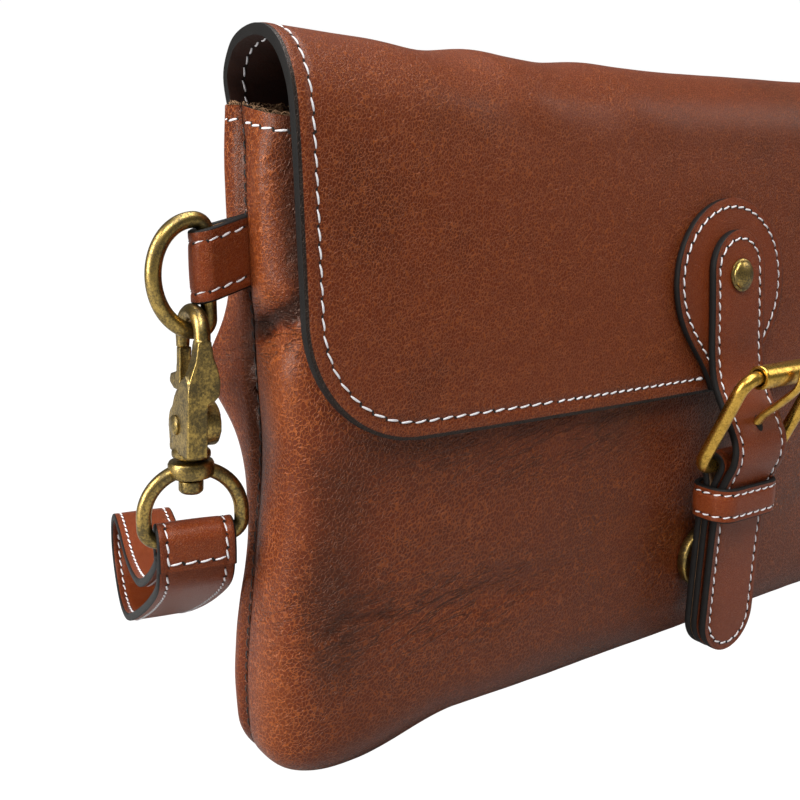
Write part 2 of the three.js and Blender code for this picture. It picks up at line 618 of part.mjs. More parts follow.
const prongEye = BUCKLE_WIRE + GAP + PRONG_WIRE;
const prongWrap = steps(7).map((t) => {
  const angle = THREE.MathUtils.degToRad(THREE.MathUtils.lerp(20, -170, t));
  const [out, up] = [prongEye * Math.cos(angle), prongEye * Math.sin(angle)];
  return new THREE.Vector3(0, BASE_BAR.y + out, BASE_BAR.z + up);
});
const prongArm = new THREE.CatmullRomCurve3(
  PRONG_LINE.map((row) => new THREE.Vector3(0, row.y, row.z))).getPoints(11);
addPiece("buckle_prong", wire([...prongWrap, ...prongArm], PRONG_WIRE, 8, false), GOLD_BRASS);

// Snap between the pouch and the backing strap
const panelFrontY = (z) => pouchAt(z).frontY - GAP / 2;
const snapBackY = panelFrontY(SNAP.z) - GAP;
const snapFrontY = strapFrontY(SNAP.z) + STRAP_WALL + BACKING_GAP + BACKING_WALL + GAP + 0.9;
const snapHeight = snapBackY - snapFrontY;
const snapLean = Math.atan2(panelFrontY(SNAP.z - 10) - panelFrontY(SNAP.z + 10), 20);
const snapDisc = turnedAboutZ([
  [0, 0], [SNAP.radius * 0.9, 0], [SNAP.radius, 0.6], [SNAP.radius, snapHeight * 0.5],
  [SNAP.radius * 0.9, snapHeight * 0.66], [SNAP.radius * 0.62, snapHeight * 0.7],
  [SNAP.radius * 0.56, snapHeight], [0, snapHeight],
], 24);
const snap = addPiece("snap_disc", snapDisc, ANTIQUE_BRASS);
snap.position.set(0, snapBackY, SNAP.z);
snap.rotation.x = Math.PI / 2 + snapLean;

// Ring tab: folded round the ring's bar, drooping away from the seam
const tabRound = RING.wire + GAP + TAB.wall;
const tabShape = new THREE.Shape();
tabShape.moveTo(TAB.seamX, SEAM_Y - TAB.seamHalf);
tabShape.lineTo(TAB.seamX, SEAM_Y + TAB.seamHalf);
tabShape.absarc(RING.x, SEAM_Y, tabRound, 0.5 * Math.PI, 1.5 * Math.PI);
const barHole = new THREE.Path();
barHole.absarc(RING.x, SEAM_Y, RING.wire + GAP, 0, 2 * Math.PI, true);
tabShape.holes.push(barHole);
const droop = new THREE.Matrix4().set(
  1, 0, 0, 0,
  0, 1, 0, 0,
  TAB.droop, 0, 1, TAB.low - TAB.droop * TAB.seamX,
  0, 0, 0, 1,
);
addPiece("ring_tab", pushed(tabShape, TAB.height, 8).applyMatrix4(droop), LEATHER);

const ringLine = new THREE.Path();
const barHalf = RING.halfHeight - RING.corner;
ringLine.moveTo(RING.x, -barHalf);
ringLine.lineTo(RING.x, barHalf);
ringLine.absarc(RING.x - RING.corner, barHalf, RING.corner, 0, Math.PI / 2);
ringLine.absellipse(RING_BOW.x, 0, RING_BOW.reach, RING.halfHeight, Math.PI / 2, 1.5 * Math.PI);
ringLine.absarc(RING.x - RING.corner, -barHalf, RING.corner, 1.5 * Math.PI, 2 * Math.PI);
const ringPath = ringPoints(ringLine, 6)
  .map((point) => new THREE.Vector3(point.x, SEAM_Y, RING.z + point.y));
addPiece("d_ring", wire(ringPath, RING.wire, 8, true), ANTIQUE_BRASS);

// Hook, trigger and pin are drawn upright about the stem and lean together where they hang on the ring
const hook = new THREE.Group();
hook.position.set(HOOK.x, 0, HOOK_HANG_Z);
hook.rotation.y = HOOK_LEAN;
bag.add(hook);

function addHookPiece(name, solid) {
  addPiece(name, geometryOf(solid).translate(0, 0, -HOOK_HANG_Z), ANTIQUE_BRASS, hook);
}

// Hook body: wire round the ring, shoulder, plate with the pin's hole and swivel stem
const archMiddle = (HOOK.spineIn + HOOK.noseIn) / 2;
const archIn = (HOOK.noseIn - HOOK.spineIn) / 2;
const archOut = (HOOK.noseOut - HOOK.spineOut) / 2;
const hookShape = new THREE.Shape();
hookShape.moveTo(HOOK.spineOut, HOOK_PLATE.z);
hookShape.lineTo(HOOK.spineOut, HOOK_ARCH.z);
const crownY = (HOOK.spineOut + HOOK.noseOut) / 2;
hookShape.absellipse(crownY, HOOK_ARCH.z, archOut, HOOK_ARCH.crown, Math.PI, 0, true);
hookShape.lineTo(HOOK.noseOut - 0.8, HOOK_NOSE_Z);
hookShape.lineTo(HOOK.noseIn, HOOK_NOSE_Z);
hookShape.lineTo(HOOK.noseIn, HOOK_ARCH.z);
hookShape.absarc(archMiddle, HOOK_ARCH.z, archIn, 0, Math.PI, false);
hookShape.lineTo(HOOK.spineIn, HOOK_PLATE.z);
const hookFront = new THREE.Shape([
  [HOOK_PLATE.left, HOOK_PLATE.low], [HOOK_PLATE.right, HOOK_PLATE.low],
  [HOOK_PLATE.right, HOOK_SHOULDER.low], [HOOK_SHOULDER.right, HOOK_SHOULDER.low + 0.8],
  [HOOK_SHOULDER.right, HOOK_SHOULDER.high], [3.2, 108], [HOOK_ARCH.half, 112], [HOOK_ARCH.half, 125],
  [-HOOK_ARCH.half, 125], [-HOOK_ARCH.half, 112], [-2.8, 108], [HOOK_PLATE.left, HOOK_SHOULDER.high],
].map(([x, z]) => new THREE.Vector2(x, z)));
const stem = turnedAboutZ([
  [0, 73.6], [2.4, 73.8], [3.2, 74.6], [3.2, 77.3], [2.0, 77.5], [2.0, 82.9],
  [4.3, 83.3], [4.3, 84.6], [3.6, 85.4], [0, 85.4],
], 16).translate(0, HOOK.y, 0);
const plateFoot = boxSolid(
  HOOK_PLATE.left, HOOK_PLATE.right, HOOK.y - HOOK_PLATE.half, HOOK.y + HOOK_PLATE.half,
  HOOK_PLATE.low, HOOK_PLATE.z);
const plateRound = rodAlongX(HOOK_PLATE.radius, HOOK_PLATE.left, HOOK_PLATE.right, HOOK.y, HOOK_PLATE.z, 24);
const pinHole = rodAlongX(PIN.hole, -9, 9, HOOK.y, HOOK_PLATE.z);
const hookBody = solidOf(pushedAlongX(hookShape, HOOK_PLATE.left, HOOK_SHOULDER.right, 10))
  .intersect(solidOf(pushedAlongY(hookFront, -20, 30)))
  .add(plateRound)
  .add(plateFoot)
  .add(solidOf(stem))
  .subtract(pinHole);
addHookPiece("hook_body", hookBody);

// Trigger: round lobe on the pin, arm up to the nose and a thumb tab behind
const triggerArm = new THREE.Shape([
  [HOOK.y + 1.6, HOOK_PLATE.z + 4], [HOOK.noseIn, HOOK_PLATE.z + 9], [HOOK.noseIn, TRIGGER.top],
  [HOOK.noseIn + 2.4, TRIGGER.top], [HOOK.noseIn + 2.6, 104.6], [HOOK.noseOut + 3.4, 103.4],
  [HOOK.noseOut + 3.7, 101.2], [HOOK.noseIn + 2.8, 99.0], [HOOK.y + 5.6, HOOK_PLATE.z + 1],
].map(([y, z]) => new THREE.Vector2(y, z)));
const triggerFront = new THREE.Shape([
  [TRIGGER.left, HOOK_PLATE.z], [HOOK_SHOULDER.right, HOOK_PLATE.z], [HOOK_SHOULDER.right, 103.6],
  [TRIGGER.half, 106], [TRIGGER.half, 113], [-TRIGGER.half, 113], [-TRIGGER.half, TRIGGER.bridge],
  [TRIGGER.left, TRIGGER.bridge],
].map(([x, z]) => new THREE.Vector2(x, z)));
const triggerLobe = rodAlongX(TRIGGER.lobe, TRIGGER.left, HOOK_SHOULDER.right, HOOK.y, HOOK_PLATE.z, 24);
const trigger = solidOf(pushedAlongX(triggerArm, -TRIGGER.half, HOOK_SHOULDER.right))
  .intersect(solidOf(pushedAlongY(triggerFront, -20, 30)))
  .add(triggerLobe)
  .subtract(pinHole);
addHookPiece("hook_trigger", trigger);

const pinHead = HOOK_PLATE.left - GAP;
const pin = rodAlongX(PIN.radius, pinHead, HOOK_SHOULDER.right, HOOK.y, HOOK_PLATE.z)
  .add(rodAlongX(PIN.head, pinHead - PIN.headHeight, pinHead, HOOK.y, HOOK_PLATE.z));
addHookPiece("trigger_pin", pin);

// Swivel eye and wrist strap turn together about the stem
const swivel = new THREE.Group();
swivel.position.set(EYE_X, HOOK.y, 0);
swivel.rotation.z = EYE_TURN;
bag.add(swivel);

const eyeLine = new THREE.Path();
const eyeStraight = EYE.half - EYE.corner;
eyeLine.moveTo(-eyeStraight, EYE.barZ);
eyeLine.absarc(eyeStraight, EYE.barZ + EYE.corner, EYE.corner, -Math.PI / 2, 0);
eyeLine.absellipse(0, EYE.archZ, EYE.half, EYE.archHeight, 0, Math.PI);
eyeLine.absarc(-eyeStraight, EYE.barZ + EYE.corner, EYE.corner, Math.PI, 1.5 * Math.PI);
const eyePath = ringPoints(eyeLine, 6).map((point) => new THREE.Vector3(point.x, 0, point.y));
const barrel = turnedAboutZ([
  [0, BARREL.low], [BARREL.radius - 0.7, BARREL.low], [BARREL.radius, BARREL.low + 0.8],
  [BARREL.radius, BARREL.high - 0.8], [BARREL.radius - 0.7, BARREL.high], [0, BARREL.high],
]);
const stemHole = turnedAboutZ([[0, 70], [BARREL.hole, 70], [BARREL.hole, 90], [0, 90]], 16);
const swivelEye = solidOf(wire(eyePath, EYE.wire, 8, true))
  .add(solidOf(barrel))
  .subtract(solidOf(stemHole));
addPiece("swivel_eye", geometryOf(swivelEye), ANTIQUE_BRASS, swivel);

const wristLine = smoothLine(WRIST_LINE.map((row) => new THREE.Vector2(row.out, row.z)), 64);
const wristBand = bandShape(
  wristLine.map((point, i) => {
    const before = wristLine[Math.max(i - 1, 0)];
    const after = wristLine[Math.min(i + 1, wristLine.length - 1)];
    const run = after.clone().sub(before).normalize();
    return new THREE.Vector2(point.x - run.y * WRIST_WALL / 2, point.y + run.x * WRIST_WALL / 2);
  }), WRIST_WALL);
const foldShape = new THREE.Shape();
foldShape.moveTo(-3.6, WRIST_FOLD.low);
foldShape.lineTo(3.4, WRIST_FOLD.low + 1.5);
foldShape.lineTo(WRIST_FOLD.outer, EYE.barZ);
foldShape.absarc(0, EYE.barZ, WRIST_FOLD.outer, 0, Math.PI);
const wristHalf = WRIST_WIDTH / 2;
const wristStrap = solidOf(pushedAlongX(wristBand, -wristHalf, wristHalf))
  .add(solidOf(pushedAlongX(foldShape, -wristHalf, wristHalf)))
  .subtract(rodAlongX(WRIST_FOLD.hole, -20, 20, 0, EYE.barZ, 16));
addPiece("wrist_strap", geometryOf(wristStrap), LEATHER, swivel);

bag.position.z = BASE_SAG;

export default bag;
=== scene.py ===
"""Looks of a flap-over leather clutch bag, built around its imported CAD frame.

Sizes in the tables are millimetres: +Z up, the front faces -Y, and the floor lies STAND under their zero.
"""

import math

import bpy
import numpy as np
from bpy.props import FloatProperty, FloatVectorProperty, PointerProperty
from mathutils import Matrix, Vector, noise
from mathutils.bvhtree import BVHTree


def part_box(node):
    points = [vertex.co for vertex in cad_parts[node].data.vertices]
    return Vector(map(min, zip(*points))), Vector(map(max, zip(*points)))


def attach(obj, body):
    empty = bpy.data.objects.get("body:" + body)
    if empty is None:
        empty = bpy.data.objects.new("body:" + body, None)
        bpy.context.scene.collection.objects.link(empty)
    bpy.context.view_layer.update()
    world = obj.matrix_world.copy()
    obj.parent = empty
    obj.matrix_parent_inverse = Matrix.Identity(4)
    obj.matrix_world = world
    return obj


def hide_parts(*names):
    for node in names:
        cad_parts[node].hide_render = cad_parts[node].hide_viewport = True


bl_info = {
    "name": "Leather clutch bag",
    "version": (1, 0, 0),
    "blender": (4, 5, 0),
    "location": "3D View > Sidebar > Clutch bag",
    "description": "Leather, stitching and metal fittings of a clutch bag around its CAD frame",
    "category": "Object",
}

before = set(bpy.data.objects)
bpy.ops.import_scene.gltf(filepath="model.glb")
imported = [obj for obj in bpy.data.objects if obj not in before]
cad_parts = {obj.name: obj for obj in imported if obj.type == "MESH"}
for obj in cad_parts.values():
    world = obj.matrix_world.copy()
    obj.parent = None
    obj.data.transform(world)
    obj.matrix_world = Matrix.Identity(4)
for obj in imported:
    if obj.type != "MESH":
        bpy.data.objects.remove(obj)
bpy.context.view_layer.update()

MM = 0.001
# Gap between pieces that touch, and height of the base's middle over the floor
GAP = 0.3
STAND = 8.5
ACROSS, FORWARD, UP = np.array((1.0, 0, 0)), np.array((0, -1.0, 0)), np.array((0, 0, 1.0))
# Sides of the bag that a feature is on
BOTH, LEFT, RIGHT = (-1, 1), (-1,), (1,)

SEAM_Y = 5.0
# Pouch rows: height, half width at the seam, front face and back face
POUCH = (
    (0, 151.2, -22.0, 15.0),
    (18, 151.6, -23.5, 16.0),
    (50, 148.4, -26.0, 17.0),
    (84, 145.0, -27.0, 17.5),
    (112, 146.0, -25.2, 18.6),
    (140, 147.0, -22.8, 19.0),
    (172, 146.6, -19.5, 18.5),
)
PANEL_WALL = 2.0
# The base sags from the first share of the half width to the second, down to the floor
BASE_SAG = (0.66, 0.96)
BOTTOM_SQUARENESS = 2.4
BOTTOM_ROLL_MIDDLE, BOTTOM_ROLL_END = 27.0, 14.5
BOTTOM_FLAT = math.radians(42)
CORNER_ROUND = 13.0
RIM_SEAM_Z = 170.5
RIM_STITCH_IN = 3.6
# Panels: squareness seen from above, column of the face in the pouch rows, rise of the rim at its middle
PANELS = {"front_panel": (4.6, 1, -5.0), "back_panel": (6.0, 2, 0.5)}
# Columns of a panel keep to its outline's length and, by this much, to its angle
OUTLINE_HALF, OUTLINE_DEPTH, OUTLINE_EVEN = 147, 27, 60
# Dents: distance from the middle, Y, Z, reach along each axis, height, sides
DENTS = (
    (147, -9, 114, 14, 15, 6, -3.0, BOTH),
    (146, -12, 93, 18, 16, 12, 1.6, BOTH),
    (92, -25, 38, 36, 20, 6, -1.6, LEFT),
    (96, -25, 44, 36, 20, 6, -1.4, RIGHT),
    (146, 17, 102, 16, 12, 12, 3.2, BOTH),
    (149, 14, 154, 6.5, 9, 26, 2.6, BOTH),
    (0, 18, 86, 70, 20, 9, -1.6, RIGHT),
)
# Dents push along Y up to the first distance from the middle, and along X from the second one on
DENT_TURN = (125, 150)
# Wrinkled places of the front: distance from the middle, Z, reach along both, strength, sides
WRINKLES = (
    (108, 38, 42, 15, 0.95, LEFT),
    (146, 115, 9, 9, 0.9, BOTH),
    (143, 148, 7, 20, 0.15, BOTH),
    (70, 80, 55, 11, 0.75, LEFT),
)
# Creases: depth, width, lift of the lips, points along the line. Side creases are mirrored at the right.
SIDE_CREASES = (
    (2.0, 3.4, 0.4,
     ((-146, 4, 115.0), (-145.8, 1.3, 115.6), (-145.4, -3.3, 116.9), (-144.4, -8.5, 119.1),
      (-143.0, -11.8, 121.0), (-141.1, -13.8, 122.3), (-136, -17, 124.6))),
    (1.0, 0.9, 0.7,
     ((-146, 4, 112.4), (-145.7, 1.6, 113.1), (-145.4, -2.7, 113.9), (-144.5, -8.5, 116.2),
      (-142.7, -12.2, 118.5), (-141.1, -13.8, 119.7), (-136, -17, 121.6))),
    (0.45, 0.7, 0.3, ((-146, 4, 109.2), (-145.6, 2.1, 109.6), (-145.4, -3.1, 112.2), (-145.0, -7.3, 114.2))),
    (0.3, 0.6, 0.25, ((-146, 4, 110.4), (-145.6, 1.5, 110.9), (-145.4, -3.6, 112.9))),
    (0.35, 0.7, 0.2,
     ((-145.6, -1.6, 118.5), (-144.7, -7.7, 120.9), (-143.0, -11.9, 123.2), (-138, -16, 125.6))),
    (0.3, 0.7, 0.25,
     ((-144.7, -8.0, 151.6), (-143.7, -10.8, 153.4), (-142.1, -11.9, 156.2), (-138, -15, 160.5))),
    (0.3, 0.8, 0.25,
     ((-144.7, -10.0, 132.3), (-143.2, -12.3, 134.3), (-141.3, -14.0, 136.3), (-137, -17, 139))),
    (0.26, 0.7, 0.24, ((-146.6, -1.9, 157.7), (-145.9, -6.4, 157.4), (-144.7, -9.3, 157.8))),
    (0.26, 0.7, 0.24, ((-146.6, -2.9, 154.8), (-145.9, -6.8, 154.6), (-144.7, -9.6, 155.3))),
    (0.26, 0.7, 0.24, ((-146.7, -2.3, 152.2), (-146.0, -6.8, 152.0), (-144.6, -10.0, 152.5))),
    (0.26, 0.7, 0.24, ((-146.7, -3.1, 149.6), (-145.9, -7.0, 149.2), (-144.8, -9.7, 149.9))),
)
FRONT_CREASES = (
    (0.5, 1.1, 0.3,
     ((-151.8, -6.1, 30.2), (-148.5, -12.7, 32.4), (-144.7, -15.9, 33.4), (-141.2, -17.6, 34.5),
      (-137.8, -18.9, 36.6), (-134.6, -19.8, 39.6), (-132.0, -20.6, 40.6), (-126.8, -21.5, 40.3),
      (-121.8, -22.2, 39.3), (-111.6, -23.1, 35.9), (-104, -23.4, 33.0))),
    (0.4, 1.0, 0.2,
     ((-114.4, -23.2, 40.7), (-104.6, -23.7, 39.0), (-96.6, -23.8, 35.9), (-91.7, -23.7, 33.4),
      (-82.4, -23.6, 28.1), (-73.6, -23.7, 23.9))),
    (0.35, 1.0, 0.2,
     ((-117.9, -22.9, 44.3), (-109.7, -23.7, 43.3), (-100.9, -24.1, 40.5), (-90.4, -24.4, 40.3),
      (-80.4, -24.3, 36.7))),
    (0.35, 0.9, 0.2,
     ((-142.2, -17.1, 35.9), (-136.0, -19.4, 40.8), (-130.0, -21.1, 43.3), (-122.4, -22.4, 44.1),
      (-111.9, -23.4, 42.2), (-102.1, -23.9, 39.3))),
    (0.3, 1.2, 0.15,
     ((-139.3, -18.4, 40.7), (-132.1, -20.6, 44.8), (-123.9, -22.3, 46.7), (-115.1, -23.4, 46.7),
      (-105.8, -24.2, 46.5), (-96, -24.6, 44))),
    (0.3, 1.0, 0.15,
     ((-120.8, -22.2, 35.6), (-111.4, -22.9, 32.8), (-101.4, -23.1, 29.6), (-90.9, -23.4, 27.2),
      (-77.9, -23.6, 22.8))),
    (0.3, 0.8, 0.2, ((-137.4, -18.9, 32.0), (-132.1, -20.4, 34.5), (-126.0, -21.5, 35.9))),
)
# Suede fibres: count for each rim, share of them near the seams, their columns, thickness along one fibre
FIBRES, FIBRES_NEAR_SEAM, RIM_COLUMNS, SEAM_COLUMNS = 260, 0.62, 250, 34
FIBRE_RADII = np.array([0.16, 0.15, 0.13, 0.1, 0.03])

# Flap, and how far its hem's narrowing reaches
FLAP_HALF_WIDTH = 146.0
FLAP_CORNER = 31.0
FLAP_WALL = 3.0
FLAP_STITCH_IN = 4.6
FLAP_HEM_INSET = 5.5
FLAP_HEM_FADE = (12, 58)
FLAP_STEPS = 801
# Flap rows from the back hem over the top to the front edge: Y and Z at the middle, Y and Z at the ends
FLAP_LINE = (
    (22.2, 140, 22.2, 140), (22.2, 154, 22.2, 154), (22.2, 168, 22.2, 168), (20.0, 176.5, 19.6, 179),
    (12.0, 182.8, 11.5, 186.4), (-2.0, 185.0, -2.5, 189.0), (-14.5, 181.6, -13.5, 185.4),
    (-22.6, 172.0, -20.6, 176.0), (-25.2, 158.0, -23.0, 163.0), (-27.2, 140.0, -24.2, 142.0),
    (-29.2, 115.0, -25.6, 116.0), (-31.0, 88.0, -26.2, 88.0),
)
# Grid lines beside the flap's edge, by their distance from it
FLAP_EDGE = np.array([0, 0.5, 0.9, 1.4, 2.2, 3.2, 3.8, 4.2, 4.6, 5.0, 5.4, 6.2, 7.4, 9.0])
# Waves across the top of the flap: height, place, reach
FLAP_WAVES = ((0.65, -84, 7), (-1.2, -100, 10), (0.5, -44, 9), (-0.7, -60, 11))
# The stitching is finer near the closure and stops beside it
FINE_STITCHES, STITCH_STOP = 70, 10.4

# Closure strap
STRAP_HALF, STRAP_WALL = 12.0, 2.4
STRAP_TOP_Z, STRAP_TIP_Z = 137.6, 2.4
STRAP_LINE = ((-36.6, 93), (-39.4, 87), (-43.6, 80), (-46.2, 74), (-46.0, 68), (-43.6, 62.5), (-41.2, 56),
              (-40.2, 48), (-39.3, 30), (-38.2, 2.4))
STRAP_ON_PATCH = (STRAP_TOP_Z, 124, 112, 101)
STRAP_STITCH_IN = 2.6
PATCH_TOP, PATCH_LOW, PATCH_RADIUS, PATCH_LOW_HALF, PATCH_WALL = 147.0, 89.0, 25.0, 9.0, 2.0
RIVET_Z = 124.0
BASE_BAR = (-37.3, 66.5)
ROLLER_BAR = (-52.0, 96.5)
BUCKLE_HALF, BUCKLE_WIRE, BUCKLE_CORNER = 18.4, 2.1, 5.0
ROLLER_HALF = 13.0
PRONG_LINE = ((-41.0, 69.0), (-41.1, 74.5), (-44.6, 81.5), (-51.4, 87.6), (-56.6, 93.0), (-57.6, 98.8))
SNAP_Z = 32.0
PRONG_WIRE, PRONG_FLATNESS = 1.15, 1.75
KEEPER_WALL, KEEPER_CORNER, KEEPER_STITCH_IN = 1.8, 5.0, 2.0

# Ring tab, D-ring, hook, eye and wrist strap
TAB = {"seam": -147.4, "low": 125.6, "height": 18.2, "droop": 0.26, "wall": 2.0, "stitch_in": 2.9}
RING = {"x": -157.0, "z": 129.3, "half": 13.75, "corner": 3.0, "wire": 2.05, "bow_x": -160.0, "reach": 11.0}
HOOK_X, HOOK_Y, HOOK_HANG_Z, HOOK_LEAN = -161.5, 5.2, 117.0, math.radians(3.2)
PIN_Z = 92.0
EYE_X, EYE_TURN = -163.54, math.radians(-12)
EYE = {"wire": 1.95, "half": 12.6, "bar": 61.8, "corner": 3.8, "arch": 68.0, "rise": 12.4}
WRIST_HALF, WRIST_WALL = 10.2, 2.6
WRIST_LINE = ((-1.6, 57.5), (2.5, 48.5), (22, 36.0), (52, 20.0), (82, 5.8), (98, 1.9), (110, 3.8),
              (119, 11.0), (121.5, 19.0), (117, 28.5), (107, 33.5), (94, 32.8), (74, 29.0), (48, 32.0),
              (22, 43.5), (5, 53.8), (1.6, 57.5))

# Camera, and lights in metres: place, width and height, colour; all aim at one place
CAMERA_PLACE = (-256.8, -228.67, 153.50)
CAMERA_PITCH, CAMERA_TURN = math.radians(77.35), math.radians(-34.0)
LENS, SENSOR = 45.0, 36.0
LIGHTS = {
    "side_light": ((-1.25, 0.1, 0.6), (0.6, 1.0), (1.0, 0.985, 0.96)),
    "front_light": ((-0.7, -0.9, 1.65), (1.0, 0.8), (1.0, 0.99, 0.975)),
    "fill_light": ((1.25, -0.75, 0.95), (0.7, 0.7), (1.0, 0.99, 0.975)),
    "top_light": ((0.05, 0.0, 1.45), (1.6, 0.6), (0.98, 0.99, 1.0)),
}
LIGHT_AIM = Vector((-0.03, 0, 0.09))


# Settings


def colour_setting(name, description, default):
    return FloatVectorProperty(name=name, description=description, subtype="COLOR", size=3, min=0, max=1,
                               default=default)


def length_setting(name, description, low, high, default):
    return FloatProperty(name=name, description=description, unit="LENGTH", min=low, max=high, precision=5,
                         default=default)


def power_setting(name, description, default):
    return FloatProperty(name=name, description=description, subtype="POWER", min=0, max=500, default=default)


class LeatherLooks(bpy.types.PropertyGroup):
    """Colours and grain of the leather"""

    # Deep also gives the painted shade in creases, hollows, wrinkle folds and under the flap
    deep: colour_setting("Deep tone", "Brown of the shaded, unworn leather", (0.05, 0.0086, 0.002))
    warm: colour_setting("Warm tone", "Brown of most of the leather", (0.094, 0.0148, 0.003))
    # Pale also gives the painted highlights that the tone mark lays on
    pale: colour_setting("Pale tone", "Tan that shows where the leather is stretched", (0.29, 0.074, 0.017))
    edge: colour_setting("Edge paint", "Charcoal paint on cut edges", (0.008, 0.007, 0.0065))
    suede: colour_setting("Raw suede", "Tan of the leather's flesh side", (0.36, 0.20, 0.10))
    lining: colour_setting("Lining", "Dark brown of the inside", (0.046, 0.013, 0.006))
    grain_cell: length_setting("Grain cell", "Size of one cell of the grain", 0.0003, 0.005, 0.00064)


class ThreadLooks(bpy.types.PropertyGroup):
    """Thread and stitch size"""

    colour: colour_setting("Thread", "Colour of the stitching thread", (0.80, 0.78, 0.80))
    dark: colour_setting("Seam thread", "Colour of the thread in the side seams", (0.012, 0.009, 0.008))
    pitch: length_setting("Stitch pitch", "Distance from stitch to stitch on the flap", 0.001, 0.01, 0.0042)
    radius: length_setting("Thread radius", "Half the width of the thread", 0.0001, 0.002, 0.0003)


class MetalLooks(bpy.types.PropertyGroup):
    """Colours of the fittings"""

    antique: colour_setting("Antique brass", "Rubbed brass of ring, hook, eye and snap", (0.5, 0.34, 0.095))
    patina: colour_setting("Patina", "Dark olive in the hollows of the brass", (0.125, 0.095, 0.045))
    gold: colour_setting("Buckle brass", "Brighter brass of the buckle", (0.7, 0.42, 0.08))


class StageLooks(bpy.types.PropertyGroup):
    """Floor and light"""

    floor: colour_setting("Floor", "Colour of the pale floor", (0.42, 0.42, 0.42))
    side_light: power_setting("Side light", "Power of the softbox at the left", 24)
    front_light: power_setting("Front light", "Power of the softbox in front", 24)
    fill_light: power_setting("Fill light", "Power of the softbox at the right front", 5)
    top_light: power_setting("Top light", "Power of the softbox overhead", 19)


# Curves and surfaces


def metres(points):
    """Places of the tables in the frame's metres, over the floor."""
    return (np.asarray(points, float) + (0, 0, STAND)) * MM


def millimetres(points):
    """Places of the frame in the tables' millimetres."""
    return np.asarray(points, float) / MM - (0, 0, STAND)


def table_curve(rows):
    """Smooth columns of a table between its rows, placed by the first column."""
    rows = np.array(rows, float)
    place, values = rows[:, 0], rows[:, 1:]
    last = len(place) - 1

    def at(where):
        where = np.clip(np.asarray(where, float), place[0], place[-1])
        i = np.clip(np.searchsorted(place, where, side="right") - 1, 0, last - 1)
        t0, t1 = place[i], place[i + 1]
        half = (t1 - t0) / 2
        back = np.where(i > 0, place[np.maximum(i - 1, 0)], t1)
        ahead = np.where(i + 2 <= last, place[np.minimum(i + 2, last)], t0)
        before = np.where((i > 0)[..., None], values[np.maximum(i - 1, 0)], values[i + 1])
        after = np.where((i + 2 <= last)[..., None], values[np.minimum(i + 2, last)], values[i])
        wp, wn = half / (t0 - back), half / (ahead - t1)
        p = (where - t0) / (t1 - t0)
        weights = (-wp * p**3 + 2 * wp * p**2 - wp * p,
                   (1 + wp) * p**3 + (-1.5 - 2 * wp) * p**2 + (-0.5 + wp) * p + 1,
                   (-1 - wn) * p**3 + (1.5 + wn) * p**2 + 0.5 * p,
                   wn * p**3 - wn * p**2)
        rows_near = (before, values[i], values[i + 1], after)
        return sum(w[..., None] * row for w, row in zip(weights, rows_near))

    return at


def spline(points, count):
    """Points of a smooth line through the given ones, evenly spread over its spans."""
    points = np.array(points, float)
    last = len(points) - 1
    t = np.linspace(0, last, count + 1)
    i = np.minimum(t.astype(int), last - 1)
    p = (t - i)[:, None]
    a, b = points[np.maximum(i - 1, 0)], points[i]
    c, d = points[i + 1], points[np.minimum(i + 2, last)]
    v0, v1 = (c - a) / 2, (d - b) / 2
    return (2 * b - 2 * c + v0 + v1) * p**3 + (-3 * b + 3 * c - 2 * v0 - v1) * p**2 + v0 * p + b


def run_lengths(line):
    """Length run from the start of a line to each of its points."""
    return np.concatenate([[0], np.cumsum(np.linalg.norm(np.diff(line, axis=0), axis=1))])


def along(line, lengths):
    """Points of a line at the given lengths from its start."""
    run = run_lengths(line)
    return np.stack([np.interp(lengths, run, line[:, k]) for k in range(line.shape[1])], axis=1)


def evenly(line, count):
    return along(line, np.linspace(0, run_lengths(line)[-1], count))


def arc(centre, radius, start, end, count):
    """Points of an arc in a plane, with angles in degrees."""
    angle = np.radians(np.linspace(start, end, count))
    return np.stack([centre[0] + radius * np.cos(angle), centre[1] + radius * np.sin(angle)], axis=1)


def unit(vectors):
    return vectors / np.maximum(np.linalg.norm(vectors, axis=-1, keepdims=True), 1e-9)


def smoothstep(values, low, high):
    t = np.clip((values - low) / (high - low), 0, 1)
    return t * t * (3 - 2 * t)


def bell(values, middle, reach):
    """1 at the middle, fading to 0 on both sides."""
    return np.exp(-(((values - middle) / reach) ** 2))


def spot(points, x, z, wide, tall):
    """1 at a place of the front or back, fading to 0 around it."""
    return bell(points[..., 0], x, wide) * bell(points[..., 2], z, tall)


def grid_normals(points):
    return unit(np.cross(np.gradient(points, axis=1), np.gradient(points, axis=0)))


def noise_at(points, size, seed):
    """Smooth noise from about -1 to 1, with features of the given size."""
    flat = points.reshape(-1, 3) / size + seed
    return np.array([noise.noise(Vector(p)) for p in flat]).reshape(points.shape[:-1])


def line_distance(points, line):
    """Distance of each point to a line, and the share of the line where it is nearest."""
    line = np.array(line, float)
    run = run_lengths(line)
    nearest = np.full(points.shape[:-1], 1e9)
    share = np.zeros(points.shape[:-1])
    for i in range(len(line) - 1):
        step = line[i + 1] - line[i]
        t = np.clip(((points - line[i]) @ step) / (step @ step), 0, 1)
        distance = np.linalg.norm(points - line[i] - t[..., None] * step, axis=-1)
        closer = distance < nearest
        nearest = np.where(closer, distance, nearest)
        share = np.where(closer, (run[i] + t * (run[i + 1] - run[i])) / run[-1], share)
    return nearest, share


def crease_height(points, crease):
    """Height of a crease and its lips, fading at both ends."""
    depth, width, lift, line = crease
    distance, share = line_distance(points, line)
    fade = smoothstep(share, 0, 0.2) * smoothstep(1 - share, 0, 0.2)
    return fade * (lift * bell(distance, 2.0 * width, 1.1 * width) - depth * bell(distance, 0, width))


def bezier(t, a, b, c, d):
    return (1 - t) ** 3 * a + 3 * (1 - t) ** 2 * t * b + 3 * (1 - t) * t**2 * c + t**3 * d


